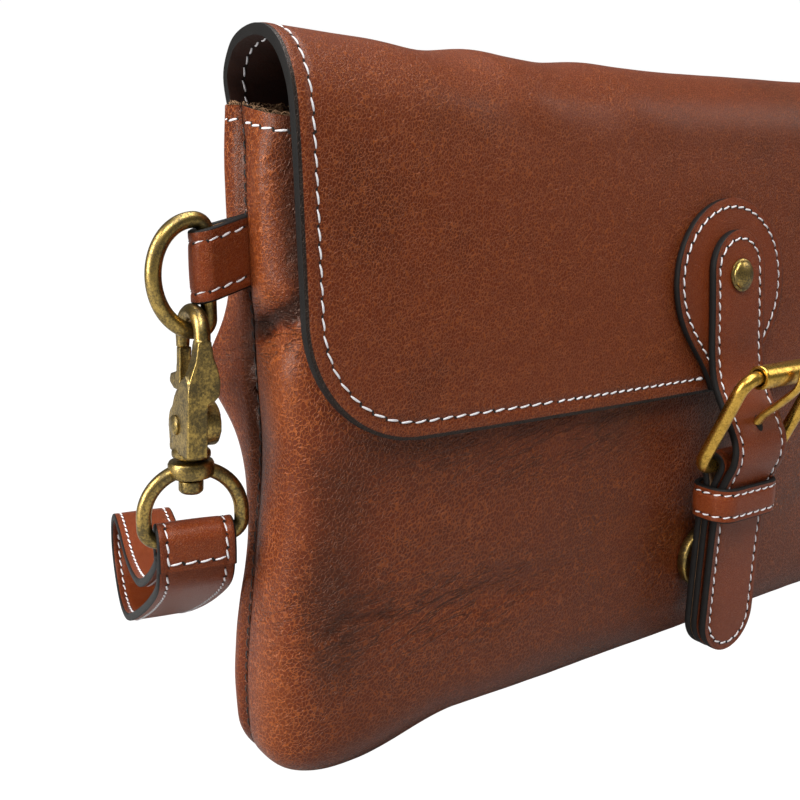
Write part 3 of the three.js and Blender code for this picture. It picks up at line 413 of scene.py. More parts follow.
def corner_inset(distance, radius):
    """How far a round corner draws an edge in, at a distance along it from the corner's start."""
    share = 1 - np.minimum(distance, radius) / radius
    return radius * (1 - np.sqrt(np.maximum(1 - share**2, 0)))


def rounded_frame(half, low, high, radius, arc_count, count):
    """Even points of a closed frame with four round corners, from side to side and from low to high."""
    corners = ((half, low, 1, 1, -90), (half, high, 1, -1, 0), (-half, high, -1, -1, 90),
               (-half, low, -1, 1, 180))
    loop = np.concatenate([arc((x - right * radius, y + up * radius), radius, start, start + 90, arc_count)
                           for x, y, right, up, start in corners])
    return evenly(np.concatenate([loop, loop[:1]]), count)[:-1]


def y_by_height(line):
    """Y of a line in (Y, Z) that runs downwards, as a function of Z."""
    return lambda z: np.interp(-np.asarray(z, float), -line[:, 1], line[:, 0])


pouch_at = table_curve(POUCH)


def roll_height(turn):
    return 1 - np.maximum(np.cos(turn), 0) ** (2 / BOTTOM_SQUARENESS)


def dented(points):
    """Places of the pouch, pushed in or out by its dents."""
    in_seam = np.minimum(np.abs(points[..., 1] - SEAM_Y) / 8, 1)
    low, high = DENT_TURN
    for px, py, pz, rx, ry, rz, height, sides in DENTS:
        for side in sides:
            reach = ((points - (side * px, py, pz)) / (rx, ry, rz)) ** 2
            amount = height * in_seam * np.exp(-reach.sum(-1))
            end = np.maximum(np.abs(points[..., 0]) - low, 0) / (high - low)
            points[..., 0] += amount * end * np.sign(points[..., 0])
            points[..., 1] += amount * (1 - np.minimum(end, 1)) * np.sign(points[..., 1] - SEAM_Y)
    return points


def panel_points(node, columns, roll_rows, face_rows):
    """Outer face of a pouch panel, from the bottom seam up to the rim and from seam to seam."""
    squareness, face, rim_rise = PANELS[node]
    power = 2 / squareness
    dense = np.linspace(0, np.pi, 4001)
    outline = np.stack([OUTLINE_HALF * np.sign(np.cos(dense)) * np.abs(np.cos(dense)) ** power,
                        OUTLINE_DEPTH * np.sin(dense).clip(0) ** power], axis=1)
    measure = run_lengths(outline) + OUTLINE_EVEN * np.linspace(0, 1, len(dense))
    angle = np.interp(np.linspace(0, measure[-1], columns), measure, dense)
    side = np.sign(np.cos(angle)) * np.abs(np.cos(angle)) ** power
    bulge = np.sin(angle).clip(0) ** power
    bulge[[0, -1]] = 0
    roll = (BOTTOM_ROLL_END + (BOTTOM_ROLL_MIDDLE - BOTTOM_ROLL_END) * (1 - side**2))[None, :]
    pressed = roll * roll_height(BOTTOM_FLAT)
    turn = np.concatenate([np.linspace(0, BOTTOM_FLAT, 7)[:-1],
                           np.linspace(BOTTOM_FLAT, np.pi / 2, roll_rows)])[:, None]
    base = -STAND * smoothstep(np.abs(side), *BASE_SAG)[None, :]
    low_z = np.maximum(roll * roll_height(turn) - pressed, 0) + base
    low_depth = np.sin(turn) ** (2 / BOTTOM_SQUARENESS) * np.ones_like(roll)
    share = np.linspace(0, 1, face_rows)[1:, None]
    rim = (RIM_SEAM_Z + rim_rise * bulge)[None, :]
    high_z = (roll - pressed + base) * (1 - share) + rim * share
    z = np.concatenate([low_z, high_z])
    depth = np.concatenate([low_depth, np.ones_like(high_z)])
    row = pouch_at(z)
    x = -(row[..., 0] - corner_inset(z - base, CORNER_ROUND)) * side
    y = SEAM_Y + (row[..., face] - SEAM_Y) * bulge * depth
    return dented(np.stack([x, y, z], axis=-1))


flap_middle = evenly(spline([row[:2] for row in FLAP_LINE], 400), FLAP_STEPS)
flap_end = evenly(spline([row[2:] for row in FLAP_LINE], 400), FLAP_STEPS)
FLAP_LENGTH = run_lengths(flap_middle)[-1]


def flap_surface(x, v):
    """Outer face of the flap at a place across and a share of its length."""
    shares = np.linspace(0, 1, FLAP_STEPS)
    end = (np.abs(x / FLAP_HALF_WIDTH) ** 2.2)[..., None]
    middle_line, end_line = (np.stack([np.interp(v, shares, line[:, k]) for k in (0, 1)], axis=-1)
                             for line in (flap_middle, flap_end))
    line = middle_line * (1 - end) + end_line * end
    y, z = line[..., 0], line[..., 1]
    hem_y = pouch_at(z)[..., 2] + 1.5 * GAP + FLAP_WALL
    hem = smoothstep(185 - z, 0, 14)
    y = np.where(y > 0, y * (1 - hem) + hem_y * hem, y)
    return np.stack([x + 0 * y, y, z], axis=-1)


def flap_side(to_edge):
    """Half width of the flap without its round corners, narrower at the hem."""
    return FLAP_HALF_WIDTH - FLAP_HEM_INSET * (1 - smoothstep(FLAP_LENGTH - to_edge, *FLAP_HEM_FADE))


def flap_half(to_edge):
    """Half width of the flap at a distance from its front edge."""
    return flap_side(to_edge) - corner_inset(to_edge, FLAP_CORNER)


flap_front_y = y_by_height(flap_middle[flap_middle[:, 0] < -20])
strap_over_patch = GAP + PATCH_WALL + GAP + STRAP_WALL
strap_on_patch = [(float(flap_front_y(z)) - strap_over_patch, z) for z in STRAP_ON_PATCH]
strap_front = spline(strap_on_patch + list(STRAP_LINE), 180)
strap_front_y = y_by_height(strap_front)


def line_normals(line):
    """Unit normals of a flat line, to the left of its run."""
    run = unit(np.gradient(line, axis=0))
    return np.stack([-run[:, 1], run[:, 0]], axis=1)


def facing_front(line):
    """Unit normals of a line in (Y, Z), on the side of the front."""
    out = line_normals(line)
    return out * np.sign(-out[:, :1])


def in_3d(line, x=0.0):
    """A line in (Y, Z) placed at an X."""
    return np.column_stack([np.full(len(line), x), line])


def turned_about_stem(points):
    """Places drawn about the swivel's stem, turned with the eye."""
    c, s = math.cos(EYE_TURN), math.sin(EYE_TURN)
    x, y, z = points.T
    return np.column_stack([EYE_X + x * c - y * s, HOOK_Y + x * s + y * c, z])


# Meshes


def select_only(piece):
    bpy.ops.object.select_all(action="DESELECT")
    piece.select_set(True)
    bpy.context.view_layer.objects.active = piece


def grid_mesh(name, points, bands=None, marks=None, closed=False, cap_band=0):
    """A grid laid over rows and columns of points; a closed one is rolled into a tube and capped."""
    rows, columns = points.shape[:2]
    bpy.ops.object.select_all(action="DESELECT")
    bpy.ops.mesh.primitive_grid_add(x_subdivisions=columns - 1, y_subdivisions=rows - 1, size=1.0)
    piece = bpy.context.object
    piece.name = piece.data.name = name
    mesh = piece.data
    flat = np.zeros(len(mesh.vertices) * 3)
    mesh.vertices.foreach_get("co", flat)
    flat = flat.reshape(-1, 3) + 0.5
    column = np.rint(flat[:, 0] * (columns - 1)).astype(int)
    row = np.rint(flat[:, 1] * (rows - 1)).astype(int)
    if len(flat) != rows * columns:
        raise RuntimeError(f"{name}: the grid has {len(flat)} points and not {rows * columns}")
    mesh.vertices.foreach_set("co", metres(points[row, column]).astype(np.float32).ravel())
    for key, values in (marks or {}).items():
        mark = mesh.attributes.new(key, "FLOAT", "POINT")
        values = np.broadcast_to(values, (rows, columns))[row, column]
        mark.data.foreach_set("value", values.astype(np.float32))
    if bands is not None:
        corners = np.zeros(len(mesh.loops), np.int32)
        mesh.loops.foreach_get("vertex_index", corners)
        lowest = column[corners.reshape(-1, 4)].min(1)
        mesh.polygons.foreach_set("material_index", np.asarray(bands, np.int32)[lowest])
    mesh.update()
    bpy.ops.object.mode_set(mode="EDIT")
    bpy.ops.mesh.select_all(action="SELECT")
    bpy.ops.mesh.remove_doubles(threshold=2e-6)
    if closed:
        bpy.ops.mesh.select_all(action="SELECT")
        bpy.ops.mesh.fill_holes(sides=0)
        bpy.ops.mesh.select_all(action="SELECT")
        bpy.ops.mesh.normals_make_consistent(inside=False)
    bpy.ops.object.mode_set(mode="OBJECT")
    for face in piece.data.polygons:
        if face.loop_total > 4:
            face.material_index = cap_band
    bpy.ops.object.shade_smooth()
    return piece


def apply_modifier(piece, kind, **settings):
    select_only(piece)
    modifier = piece.modifiers.new(kind.lower(), kind)
    for key, value in settings.items():
        setattr(modifier, key, value)
    bpy.ops.object.modifier_apply(modifier=modifier.name)


def leather_wall(piece, thickness, round_edge):
    """Gives a leather sheet its thickness inwards, its relief outside and a painted, rounded edge."""
    outside = [vertex.normal.copy() for vertex in piece.data.vertices]
    apply_modifier(piece, "SOLIDIFY", thickness=thickness * MM, offset=-1, use_rim=True,
                   material_offset=1, material_offset_rim=2)
    mesh = piece.data
    relief = mesh.attributes["relief"].data
    for i, normal in enumerate(outside):
        mesh.vertices[i].co += normal * relief[i].value * MM
    mesh.attributes.remove(mesh.attributes["relief"])
    apply_modifier(piece, "BEVEL", width=round_edge * MM, segments=3, limit_method="ANGLE",
                   angle_limit=math.radians(55), material=2, use_clamp_overlap=True)
    select_only(piece)
    bpy.ops.object.shade_smooth()


def strap_mesh(name, middle, sideways, normal, half, wall, groove=2.6, closed_run=False, back_band=2):
    """A strap of leather along a middle line: face, rounded painted edges and back."""
    half = np.broadcast_to(half, len(middle)).astype(float)
    sideways = np.broadcast_to(sideways, middle.shape)
    widest, edge_round = half.max(), 0.6
    near = widest - groove
    beside_groove = [near + d for d in (-1.3, -0.8, -0.4, 0, 0.4, 0.8, 1.3)]
    face = np.array(sorted({0, widest * 0.3, widest * 0.55, *beside_groove, widest - edge_round}))
    face = face[face >= 0]
    face = np.concatenate([-face[:0:-1], face]) / widest
    turn = np.radians(np.linspace(90, -90, 7))[1:-1]
    edge_x = 1 - (edge_round / widest) * (1 - np.cos(turn))
    across = np.concatenate([face, edge_x, face[::-1], -edge_x, face[:1]])
    up = np.concatenate([np.ones(len(face)), np.sin(turn), -np.ones(len(face)), -np.sin(turn), [1]])
    crown = 0.16 * (1 - (np.abs(face) * widest / near).clip(0, 1) ** 2)
    raised = crown - 0.28 * bell(np.abs(face) * widest, near, 0.55)
    relief = np.concatenate([raised, 0 * turn, -raised[::-1] * 0.5, 0 * turn, raised[:1]])
    height = up[None, :] * wall / 2 + relief[None, :] * (half / widest)[:, None]
    points = (middle[:, None, :] + sideways[:, None, :] * (across[None, :, None] * half[:, None, None])
              + normal[:, None, :] * height[..., None])
    count, edge = len(face), len(turn)
    bands = [0] * (count - 1) + [1] * (edge + 1) + [back_band] * (count - 1) + [1] * (edge + 1)
    tone = np.concatenate([-0.5 * np.abs(face) ** 6, np.zeros(len(across) - count)])
    if closed_run:
        points = np.concatenate([points, points[:1]])
    return grid_mesh(name, points, bands=bands, marks={"tone": tone[None, :]}, closed=True, cap_band=1)


def round_ends(z, low, high, half):
    """Half width of a strap with rounded ends, by height."""
    to_end = np.clip(np.minimum(z - low, high - z) / half, 0, 1)
    return half * np.maximum(np.sqrt(1 - (1 - to_end) ** 2), 0.03)


def end_steps(line, half, count):
    """Points along a line, close together at its rounded ends."""
    total = run_lengths(line)[-1]
    bend = half * (1 - np.cos(np.linspace(0, np.pi / 2, 16)))
    inner = np.linspace(half, total - half, count)
    return along(line, np.unique(np.concatenate([bend[:-1], inner, total - bend[::-1][1:]])))


def tube(name, line, radius, sides, closed=True):
    """A round bar along a line, closed into a ring or with tapered ends."""
    line = np.array(line, float)
    if closed:
        line = np.concatenate([line, line[:1]])
        tangent = unit(np.roll(line[:-1], -1, axis=0) - np.roll(line[:-1], 1, axis=0))
        tangent = np.concatenate([tangent, tangent[:1]])
    else:
        tangent = unit(np.gradient(line, axis=0))
    centre = line.mean(0)
    plane = unit(np.cross(line[:-1] - centre, line[1:] - centre).sum(0)[None, :])[0]
    out = unit(np.cross(tangent, plane))
    angle = np.linspace(0, 2 * np.pi, sides + 1)[None, :, None]
    radius = np.broadcast_to(radius, len(line))[:, None, None]
    points = line[:, None, :] + radius * (out[:, None, :] * np.cos(angle) + plane * np.sin(angle))
    points[:, -1] = points[:, 0]
    return grid_mesh(name, points, closed=True)


def turned(name, profile, place, axis, sides):
    """A turned shape: rows of radius and height about an axis through a place."""
    axis = np.array(axis, float) / np.linalg.norm(axis)
    start = np.array((1, 0, 0) if abs(axis[0]) < 0.9 else (0, 1, 0), float)
    first = unit(np.cross(axis, start)[None, :])[0]
    second = np.cross(axis, first)
    angle = np.linspace(0, 2 * np.pi, sides + 1)
    ring = np.cos(angle)[:, None] * first + np.sin(angle)[:, None] * second
    ring[-1] = ring[0]
    radius, height = np.array(profile, float).T[:, :, None, None]
    piece = grid_mesh(name, np.array(place, float) + height * axis + radius * ring[None], closed=True)
    select_only(piece)
    bpy.ops.object.shade_smooth_by_angle(angle=math.radians(38))
    return piece


def prism(name, first, last):
    """A plate with a flat outline, pushed from its first place to its last."""
    bpy.ops.object.select_all(action="DESELECT")
    bpy.ops.mesh.primitive_circle_add(vertices=len(first), radius=1.0, fill_type="NGON")
    piece = bpy.context.object
    piece.name = piece.data.name = name
    for vertex, place in zip(piece.data.vertices, metres(first)):
        vertex.co = place
    bpy.ops.object.mode_set(mode="EDIT")
    bpy.ops.mesh.select_all(action="SELECT")
    bpy.ops.mesh.extrude_region_move(TRANSFORM_OT_translate={"value": tuple((last[0] - first[0]) * MM)})
    bpy.ops.mesh.select_all(action="SELECT")
    bpy.ops.mesh.normals_make_consistent(inside=False)
    bpy.ops.object.mode_set(mode="OBJECT")
    return piece


def cast(piece, cell, rounds):
    """Melts a piece's solids into one, with the rounded edges of cast metal."""
    apply_modifier(piece, "REMESH", mode="VOXEL", voxel_size=cell * MM)
    apply_modifier(piece, "SMOOTH", factor=0.5, iterations=rounds)
    bpy.ops.object.shade_smooth()
    return piece


def joined(name, pieces):
    bpy.ops.object.select_all(action="DESELECT")
    for piece in pieces:
        piece.select_set(True)
    bpy.context.view_layer.objects.active = pieces[0]
    bpy.ops.object.join()
    pieces[0].name = pieces[0].data.name = name
    return pieces[0]


def cast_copy(node, name, cell, rounds):
    """A copy of a CAD node with the rounded edges of cast metal."""
    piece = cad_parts[node].copy()
    piece.data = piece.data.copy()
    piece.name = piece.data.name = name
    piece.parent = None
    for key in list(piece.keys()):
        del piece[key]
    bpy.context.scene.collection.objects.link(piece)
    piece.data.materials.clear()
    select_only(piece)
    bpy.ops.object.mode_set(mode="EDIT")
    bpy.ops.mesh.select_all(action="SELECT")
    bpy.ops.mesh.remove_doubles(threshold=1e-6)
    bpy.ops.object.mode_set(mode="OBJECT")
    return cast(piece, cell, rounds)


def dress(piece, materials, body="bag", node=None):
    """Gives a piece its materials and its body, and hides the CAD node that it stands for."""
    for name in materials:
        piece.data.materials.append(bpy.data.materials[name])
    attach(piece, body)
    if node:
        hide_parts(node)


STRAP_FINISH = ("strap_leather", "edge_paint", "raw_suede")


def dress_strap(piece, node):
    dress(piece, STRAP_FINISH, node=node)


def dress_fitting(piece, node, body="bag"):
    dress(piece, ["aged_brass"], body, node)


def dress_buckle(piece, node):
    dress(piece, ["buckle_brass"], node=node)


# Stitches and fibres


def surface_of(piece):
    mesh = piece.data
    mesh.calc_loop_triangles()
    corners = np.zeros(len(mesh.vertices) * 3)
    mesh.vertices.foreach_get("co", corners)
    triangles = np.zeros(len(mesh.loop_triangles) * 3, np.int32)
    mesh.loop_triangles.foreach_get("vertices", triangles)
    return BVHTree.FromPolygons(corners.reshape(-1, 3).tolist(), triangles.reshape(-1, 3).tolist())


def on_surface(surface, line, facing):
    """Places of a line on a surface, and the normals there."""
    places, normals = [], []
    for point, out in zip(line, np.broadcast_to(facing, line.shape)):
        place, normal, _, _ = surface.ray_cast(Vector(metres(point + out * 2.0)), Vector(-out), 0.006)
        if place is None:
            place, normal = Vector(metres(point)), Vector(out)
        places.append(millimetres(place))
        normals.append(np.array(normal) if Vector(normal).dot(Vector(out)) > 0 else -np.array(normal))
    return np.array(places), np.array(normals)


class SmallShapes:
    """Points and faces of many small shapes that make one object."""

    def __init__(self):
        self.points, self.faces, self.slots, self.count = [], [], [], 0

    def add(self, points, faces, slot=0):
        self.points.append(points)
        self.faces += [tuple(self.count + i for i in face) for face in faces]
        self.slots += [slot] * len(faces)
        self.count += len(points)

    def build(self, name, materials):
        mesh = bpy.data.meshes.new(name)
        mesh.from_pydata(metres(np.concatenate(self.points)).tolist(), [], self.faces)
        mesh.polygons.foreach_set("material_index", self.slots)
        mesh.polygons.foreach_set("use_smooth", [True] * len(self.faces))
        mesh.update()
        piece = bpy.data.objects.new(name, mesh)
        bpy.context.scene.collection.objects.link(piece)
        dress(piece, materials)


def tube_faces(rings, sides):
    """Faces of a small tube whose rings of points follow each other."""
    return [(k * sides + s, k * sides + (s + 1) % sides, (k + 1) * sides + (s + 1) % sides,
             (k + 1) * sides + s)
            for k in range(rings - 1) for s in range(sides)]


def stitch_row(name, rows, pitch, thread="white_thread", share=0.84, slant=0.55, radius=None, hole=True):
    """Stitches along rows of places and normals, each sunk at both ends beside a dark disc of painted hole
    shade.
    """
    thick = radius or bpy.context.scene.bag_thread.radius / MM
    rings, sides, hole_sides = 6, 6, 8
    t = np.linspace(0, 1, rings)
    angle = np.linspace(0, 2 * np.pi, sides, endpoint=False)[None, :, None]
    hole_angle = np.linspace(0, 2 * np.pi, hole_sides, endpoint=False)[:, None]
    lean = slant * (t - 0.5) * 2 * thick * 1.6
    lift = thick * (1.25 * np.sin(np.pi * t) ** 0.7 - 0.55)
    girth = thick * (0.72 + 0.28 * np.sin(np.pi * t))
    faces = tube_faces(rings, sides)
    shapes = SmallShapes()
    for places, normals in rows:
        lengths = run_lengths(places)
        count = max(int(round(lengths[-1] / pitch)), 1)
        step = lengths[-1] / count
        gap = step * (1 - share) / 2
        for k in range(count):
            start, stop = along(places, np.array([k * step + gap, (k + 1) * step - gap]))
            run = stop - start
            at = (k + 0.5) * step
            out = unit(np.array([np.interp(at, lengths, normals[:, axis]) for axis in range(3)]))
            forward, side = unit(run), unit(np.cross(out, run))
            spine = start + t[:, None] * run + lean[:, None] * side + lift[:, None] * out
            loop = np.cos(angle) * side + 0.82 * np.sin(angle) * out
            shapes.add((spine[:, None, :] + girth[:, None, None] * loop).reshape(-1, 3), faces)
            if not hole:
                continue
            # Dark discs at both ends: painted shade of the needle holes
            oval = (np.cos(hole_angle) * forward * 0.62 + np.sin(hole_angle) * side * 0.5) * thick / 0.43
            for end, sign in ((start, -1), (stop, 1)):
                middle = end + sign * forward * 0.12 + 0.06 * out + sign * lean[-1] * side
                shapes.add(middle + oval, [range(hole_sides)], 1)
    shapes.build(name, [thread, "needle_hole"])


# Materials


class Nodes:
    """Short way to add and link nodes in one tree."""

    def __init__(self, tree):
        self.tree = tree

    def feed(self, node, values):
        """Links or sets a node's inputs."""
        for socket, value in values.items():
            if isinstance(value, bpy.types.NodeSocket):
                self.tree.links.new(value, node.inputs[socket])
            else:
                node.inputs[socket].default_value = value

    def add(self, kind, inputs=None, **settings):
        made = self.tree.nodes.new(kind)
        for key, value in settings.items():
            setattr(made, key, value)
        self.feed(made, inputs or {})
        return made

    def math(self, operation, a, b=0.0):
        return self.add("ShaderNodeMath", {0: a, 1: b}, operation=operation).outputs[0]

    def weighted(self, a, share_a, b, share_b):
        return self.math("ADD", self.math("MULTIPLY", a, share_a), self.math("MULTIPLY", b, share_b))

    def ramp(self, value, low, high, start=0.0, end=1.0):
        inputs = {"Value": value, "From Min": low, "From Max": high, "To Min": start, "To Max": end}
        return self.add("ShaderNodeMapRange", inputs, interpolation_type="SMOOTHSTEP").outputs["Result"]

    def mix(self, factor, a, b):
        return self.add("ShaderNodeMix", {0: factor, 6: a, 7: b}, data_type="RGBA").outputs[2]

    def noise(self, vector, scale, detail=2.0, roughness=0.5, output="Fac"):
        inputs = {"Vector": vector, "Scale": scale, "Detail": detail, "Roughness": roughness}
        return self.add("ShaderNodeTexNoise", inputs).outputs[output]

    def mapping(self, vector, tilt, scale):
        """A vector turned about Y, then scaled."""
        rotation = (0, math.radians(tilt), 0)
        turned_vector = self.add("ShaderNodeMapping", {"Vector": vector, "Rotation": rotation})
        inputs = {"Vector": turned_vector.outputs["Vector"], "Scale": scale}
        return self.add("ShaderNodeMapping", inputs).outputs["Vector"]

    def vector_math(self, operation, inputs):
        return self.add("ShaderNodeVectorMath", inputs, operation=operation).outputs[0]

    def bump(self, height, strength, distance):
        inputs = {"Height": height, "Strength": strength, "Distance": distance}
        return self.add("ShaderNodeBump", inputs).outputs["Normal"]

    def mark(self, name):
        return self.add("ShaderNodeAttribute", attribute_name=name).outputs["Fac"]


def group(name, inputs, outputs):
    """A node group that takes a vector and numbers with defaults, and gives numbers."""
    tree = bpy.data.node_groups.new(name, "ShaderNodeTree")
    tree.interface.new_socket("Vector", in_out="INPUT", socket_type="NodeSocketVector")
    for label, default in inputs.items():
        socket = tree.interface.new_socket(label, in_out="INPUT", socket_type="NodeSocketFloat")
        socket.default_value = default
    for label in outputs:
        tree.interface.new_socket(label, in_out="OUTPUT", socket_type="NodeSocketFloat")
    return Nodes(tree), tree.nodes.new("NodeGroupInput").outputs, tree.nodes.new("NodeGroupOutput")


def make_grain_group():
    """Leather grain: a net of raised lines round small, drawn-out cells, with pores, folds and cloudy dye."""
    made = ("Height", "Lines", "Cloud", "Folds")
    nodes, start, end = group("leather_grain", {"Scale": 1000.0, "Wrinkle": 0.0}, made)
    vector, scale = start["Vector"], start["Scale"]
    drawn = nodes.mapping(vector, -30, (1.0, 0.9, 0.66))
    bend = nodes.noise(drawn, nodes.math("MULTIPLY", scale, 0.5), output="Color")
    shift = nodes.vector_math("SUBTRACT", {0: bend, 1: (0.5, 0.5, 0.5)})
    moved = nodes.vector_math("SCALE", {0: shift, "Scale": nodes.math("DIVIDE", 1.5, scale)})
    bent = nodes.vector_math("ADD", {0: drawn, 1: moved})
    cells = nodes.add("ShaderNodeTexVoronoi", {"Vector": bent, "Scale": scale}, feature="DISTANCE_TO_EDGE")
    patches = nodes.noise(vector, nodes.math("MULTIPLY", scale, 0.16), 3.0, 0.65)
    lines = nodes.ramp(cells.outputs["Distance"], 0.02, 0.15, 1.0, 0.0)
    lines = nodes.math("MULTIPLY", lines, nodes.ramp(patches, 0.3, 0.68, 0.6, 1.0))
    ridges = nodes.noise(nodes.mapping(vector, 16, (60.0, 110.0, 380.0)), 1.0)
    folds = nodes.ramp(nodes.math("ABSOLUTE", nodes.math("SUBTRACT", ridges, 0.5)), 0.0, 0.042, 1.0, 0.0)
    folds = nodes.math("MULTIPLY", folds, start["Wrinkle"])
    pores = nodes.noise(vector, nodes.math("MULTIPLY", scale, 2.6))
    raised = nodes.weighted(lines, 0.8, pores, 0.5)
    height = nodes.math("SUBTRACT", raised, nodes.math("MULTIPLY", folds, 1.5))
    cloud = nodes.noise(vector, 24.0, 4.0, 0.6)
    nodes.feed(end, {"Height": height, "Lines": lines, "Cloud": cloud, "Folds": folds})


def make_patina_group():
    """Patina: a noise mask for patches of dark olive among rubbed bright metal, and fine pitting."""
    nodes, start, end = group("brass_patina", {"Amount": 0.5}, ("Mask", "Height"))
    vector = start["Vector"]
    coarse, fine = nodes.noise(vector, 220.0, 3.0, 0.6), nodes.noise(vector, 1700.0, 3.0, 0.7)
    both = nodes.weighted(coarse, 0.45, fine, 0.55)
    edge = nodes.math("SUBTRACT", 0.72, nodes.math("MULTIPLY", start["Amount"], 0.44))
    mask = nodes.ramp(both, nodes.math("SUBTRACT", edge, 0.13), nodes.math("ADD", edge, 0.13))
    nodes.feed(end, {"Mask": mask, "Height": nodes.noise(vector, 2200.0, 2.0, 0.6)})


def new_material(name):
    material = bpy.data.materials.new(name)
    material.use_nodes = True
    nodes = Nodes(material.node_tree)
    place = nodes.add("ShaderNodeTexCoord").outputs["Object"]
    return nodes, material.node_tree.nodes["Principled BSDF"], place


def scaled(colour, factor):
    return [c * factor for c in colour]


def rgba(colour, factor=1.0):
    return tuple(min(c * factor, 1.0) for c in colour) + (1.0,)


def leather_material(name, cell, deep, warm, rough, relief, line_tone):
    """Dyed leather: cloudy brown with a paler net of grain, paler where stretched, with paint at its edge,
    and painted highlight and shade.
    """
    looks = bpy.context.scene.bag_leather
    nodes, shader, place = new_material(name)
    tone = nodes.mark("tone")
    grain = nodes.add("ShaderNodeGroup", node_tree=bpy.data.node_groups["leather_grain"])
    nodes.feed(grain, {"Vector": place, "Wrinkle": nodes.mark("wrinkle"), "Scale": 1.0 / cell})
    lines, clouds, folds = (grain.outputs[key] for key in ("Lines", "Cloud", "Folds"))
    # The tone mark holds painted highlights and painted shade besides the paler stretched leather; it shifts
    # the cloudy brown with them
    cloud = nodes.math("ADD", clouds, nodes.math("MULTIPLY", tone, 0.45))
    colour = nodes.mix(nodes.ramp(cloud, 0.16, 0.58), rgba(deep), rgba(warm))
    # Paler where the tone is high: stretched leather and painted highlights
    colour = nodes.mix(nodes.ramp(tone, 0.1, 1.0, 0.0, 0.4), colour, rgba(looks.pale))
    # The pale grain net follows the tone, so it fades in painted shade and grows in painted highlight
    stretched = nodes.ramp(tone, -0.7, 0.5, 0.25, 1.0)
    net = nodes.math("MULTIPLY", lines, nodes.math("MULTIPLY", stretched, line_tone))
    colour = nodes.mix(net, colour, rgba(looks.pale))
    # Painted shade in the wrinkle folds
    colour = nodes.mix(nodes.math("MULTIPLY", folds, 0.75), colour, rgba(deep, 0.5))
    # Darkest where the tone is lowest: painted shade
    colour = nodes.mix(nodes.ramp(tone, -0.35, -1.2, 0.0, 0.9), colour, rgba(deep, 0.3))
    colour = nodes.mix(nodes.ramp(nodes.mark("painted"), 0.35, 0.65), colour, rgba(looks.edge))
    gloss = nodes.weighted(clouds, 0.2, lines, -0.06)
    nodes.feed(shader, {"Base Color": colour, "Roughness": nodes.math("ADD", gloss, rough - 0.08),
                        "Normal": nodes.bump(grain.outputs["Height"], 0.9, relief),
                        "Specular IOR Level": 0.28, "Specular Tint": (1.0, 0.7, 0.56, 1.0),
                        "Coat Weight": 0.07, "Coat Roughness": 0.24})


def fibre_material(name, colour, shade, scale, relief, rough):
    """Matt fibrous finish for suede, lining, edge paint and thread."""
    nodes, shader, place = new_material(name)
    fibres = nodes.noise(place, scale, 4.0, 0.65)
    blend = nodes.weighted(fibres, 0.6, nodes.noise(place, scale * 0.14, 3.0, 0.6), 0.4)
    tint = nodes.mix(nodes.ramp(blend, 0.32, 0.68), rgba(colour, shade), rgba(colour))
    roughness = nodes.ramp(fibres, 0.3, 0.7, rough - 0.12, min(rough + 0.08, 1.0))
    normal = nodes.bump(fibres, 0.7, relief)
    nodes.feed(shader, {"Base Color": tint, "Roughness": roughness, "Normal": normal})
    return shader


def brass_material(name, bright, dark, amount, rough):
    """Brass with rubbed bright metal and dark patina."""
    nodes, shader, place = new_material(name)
    patina = nodes.add("ShaderNodeGroup", node_tree=bpy.data.node_groups["brass_patina"])
    nodes.feed(patina, {"Vector": place, "Amount": amount})
    mask, pitting = patina.outputs["Mask"], patina.outputs["Height"]
    nodes.feed(shader, {"Base Color": nodes.mix(mask, rgba(bright), rgba(dark)), "Metallic": 1.0,
                        "Roughness": nodes.math("ADD", nodes.math("MULTIPLY", mask, 0.16), rough),
                        "Normal": nodes.bump(pitting, 0.15, 0.00004)})


# Operators


class BAG_OT_finishes(bpy.types.Operator):
    """Make the leather, thread and metal materials"""

    bl_idname = "bag.finishes"
    bl_label = "Finishes"

    def execute(self, context):
        scene = context.scene
        leather, thread, metal = scene.bag_leather, scene.bag_thread, scene.bag_metal
        cell, deep, warm = leather.grain_cell, leather.deep, leather.warm
        make_grain_group()
        make_patina_group()
        leather_material("pouch_leather", cell * 1.45, deep, warm, 0.32, 0.00026, 0.95)
        # The flap's warm brown, 1.2 times the pouch's, is painted light for the stronger light on the flap
        leather_material("flap_leather", cell * 1.1, deep, scaled(warm, 1.2), 0.35, 0.00023, 0.95)
        deep, warm = scaled(deep, 1.6), scaled(warm, 1.6)
        leather_material("strap_leather", cell * 0.8, deep, warm, 0.35, 0.00013, 0.75)
        paint = fibre_material("edge_paint", leather.edge, 0.5, 2600.0, 0.00008, 0.62)
        paint.inputs["Specular IOR Level"].default_value = 0.2
        fibre_material("raw_suede", leather.suede, 0.45, 3000.0, 0.0003, 0.95)
        fibre_material("dark_lining", leather.lining, 0.45, 1500.0, 0.00012, 0.7)
        fibre_material("white_thread", thread.colour, 0.72, 5200.0, 0.00007, 0.62)
        fibre_material("seam_thread", thread.dark, 0.5, 5200.0, 0.00007, 0.7)
        # Near-black painted shade of the needle holes and the prong slot
        fibre_material("needle_hole", (0.008, 0.004, 0.003), 0.5, 2000.0, 0.00002, 0.95)
        brass_material("aged_brass", metal.antique, metal.patina, 0.56, 0.26)
        brass_material("buckle_brass", metal.gold, scaled(metal.gold, 0.42), 0.45, 0.24)
        return {"FINISHED"}


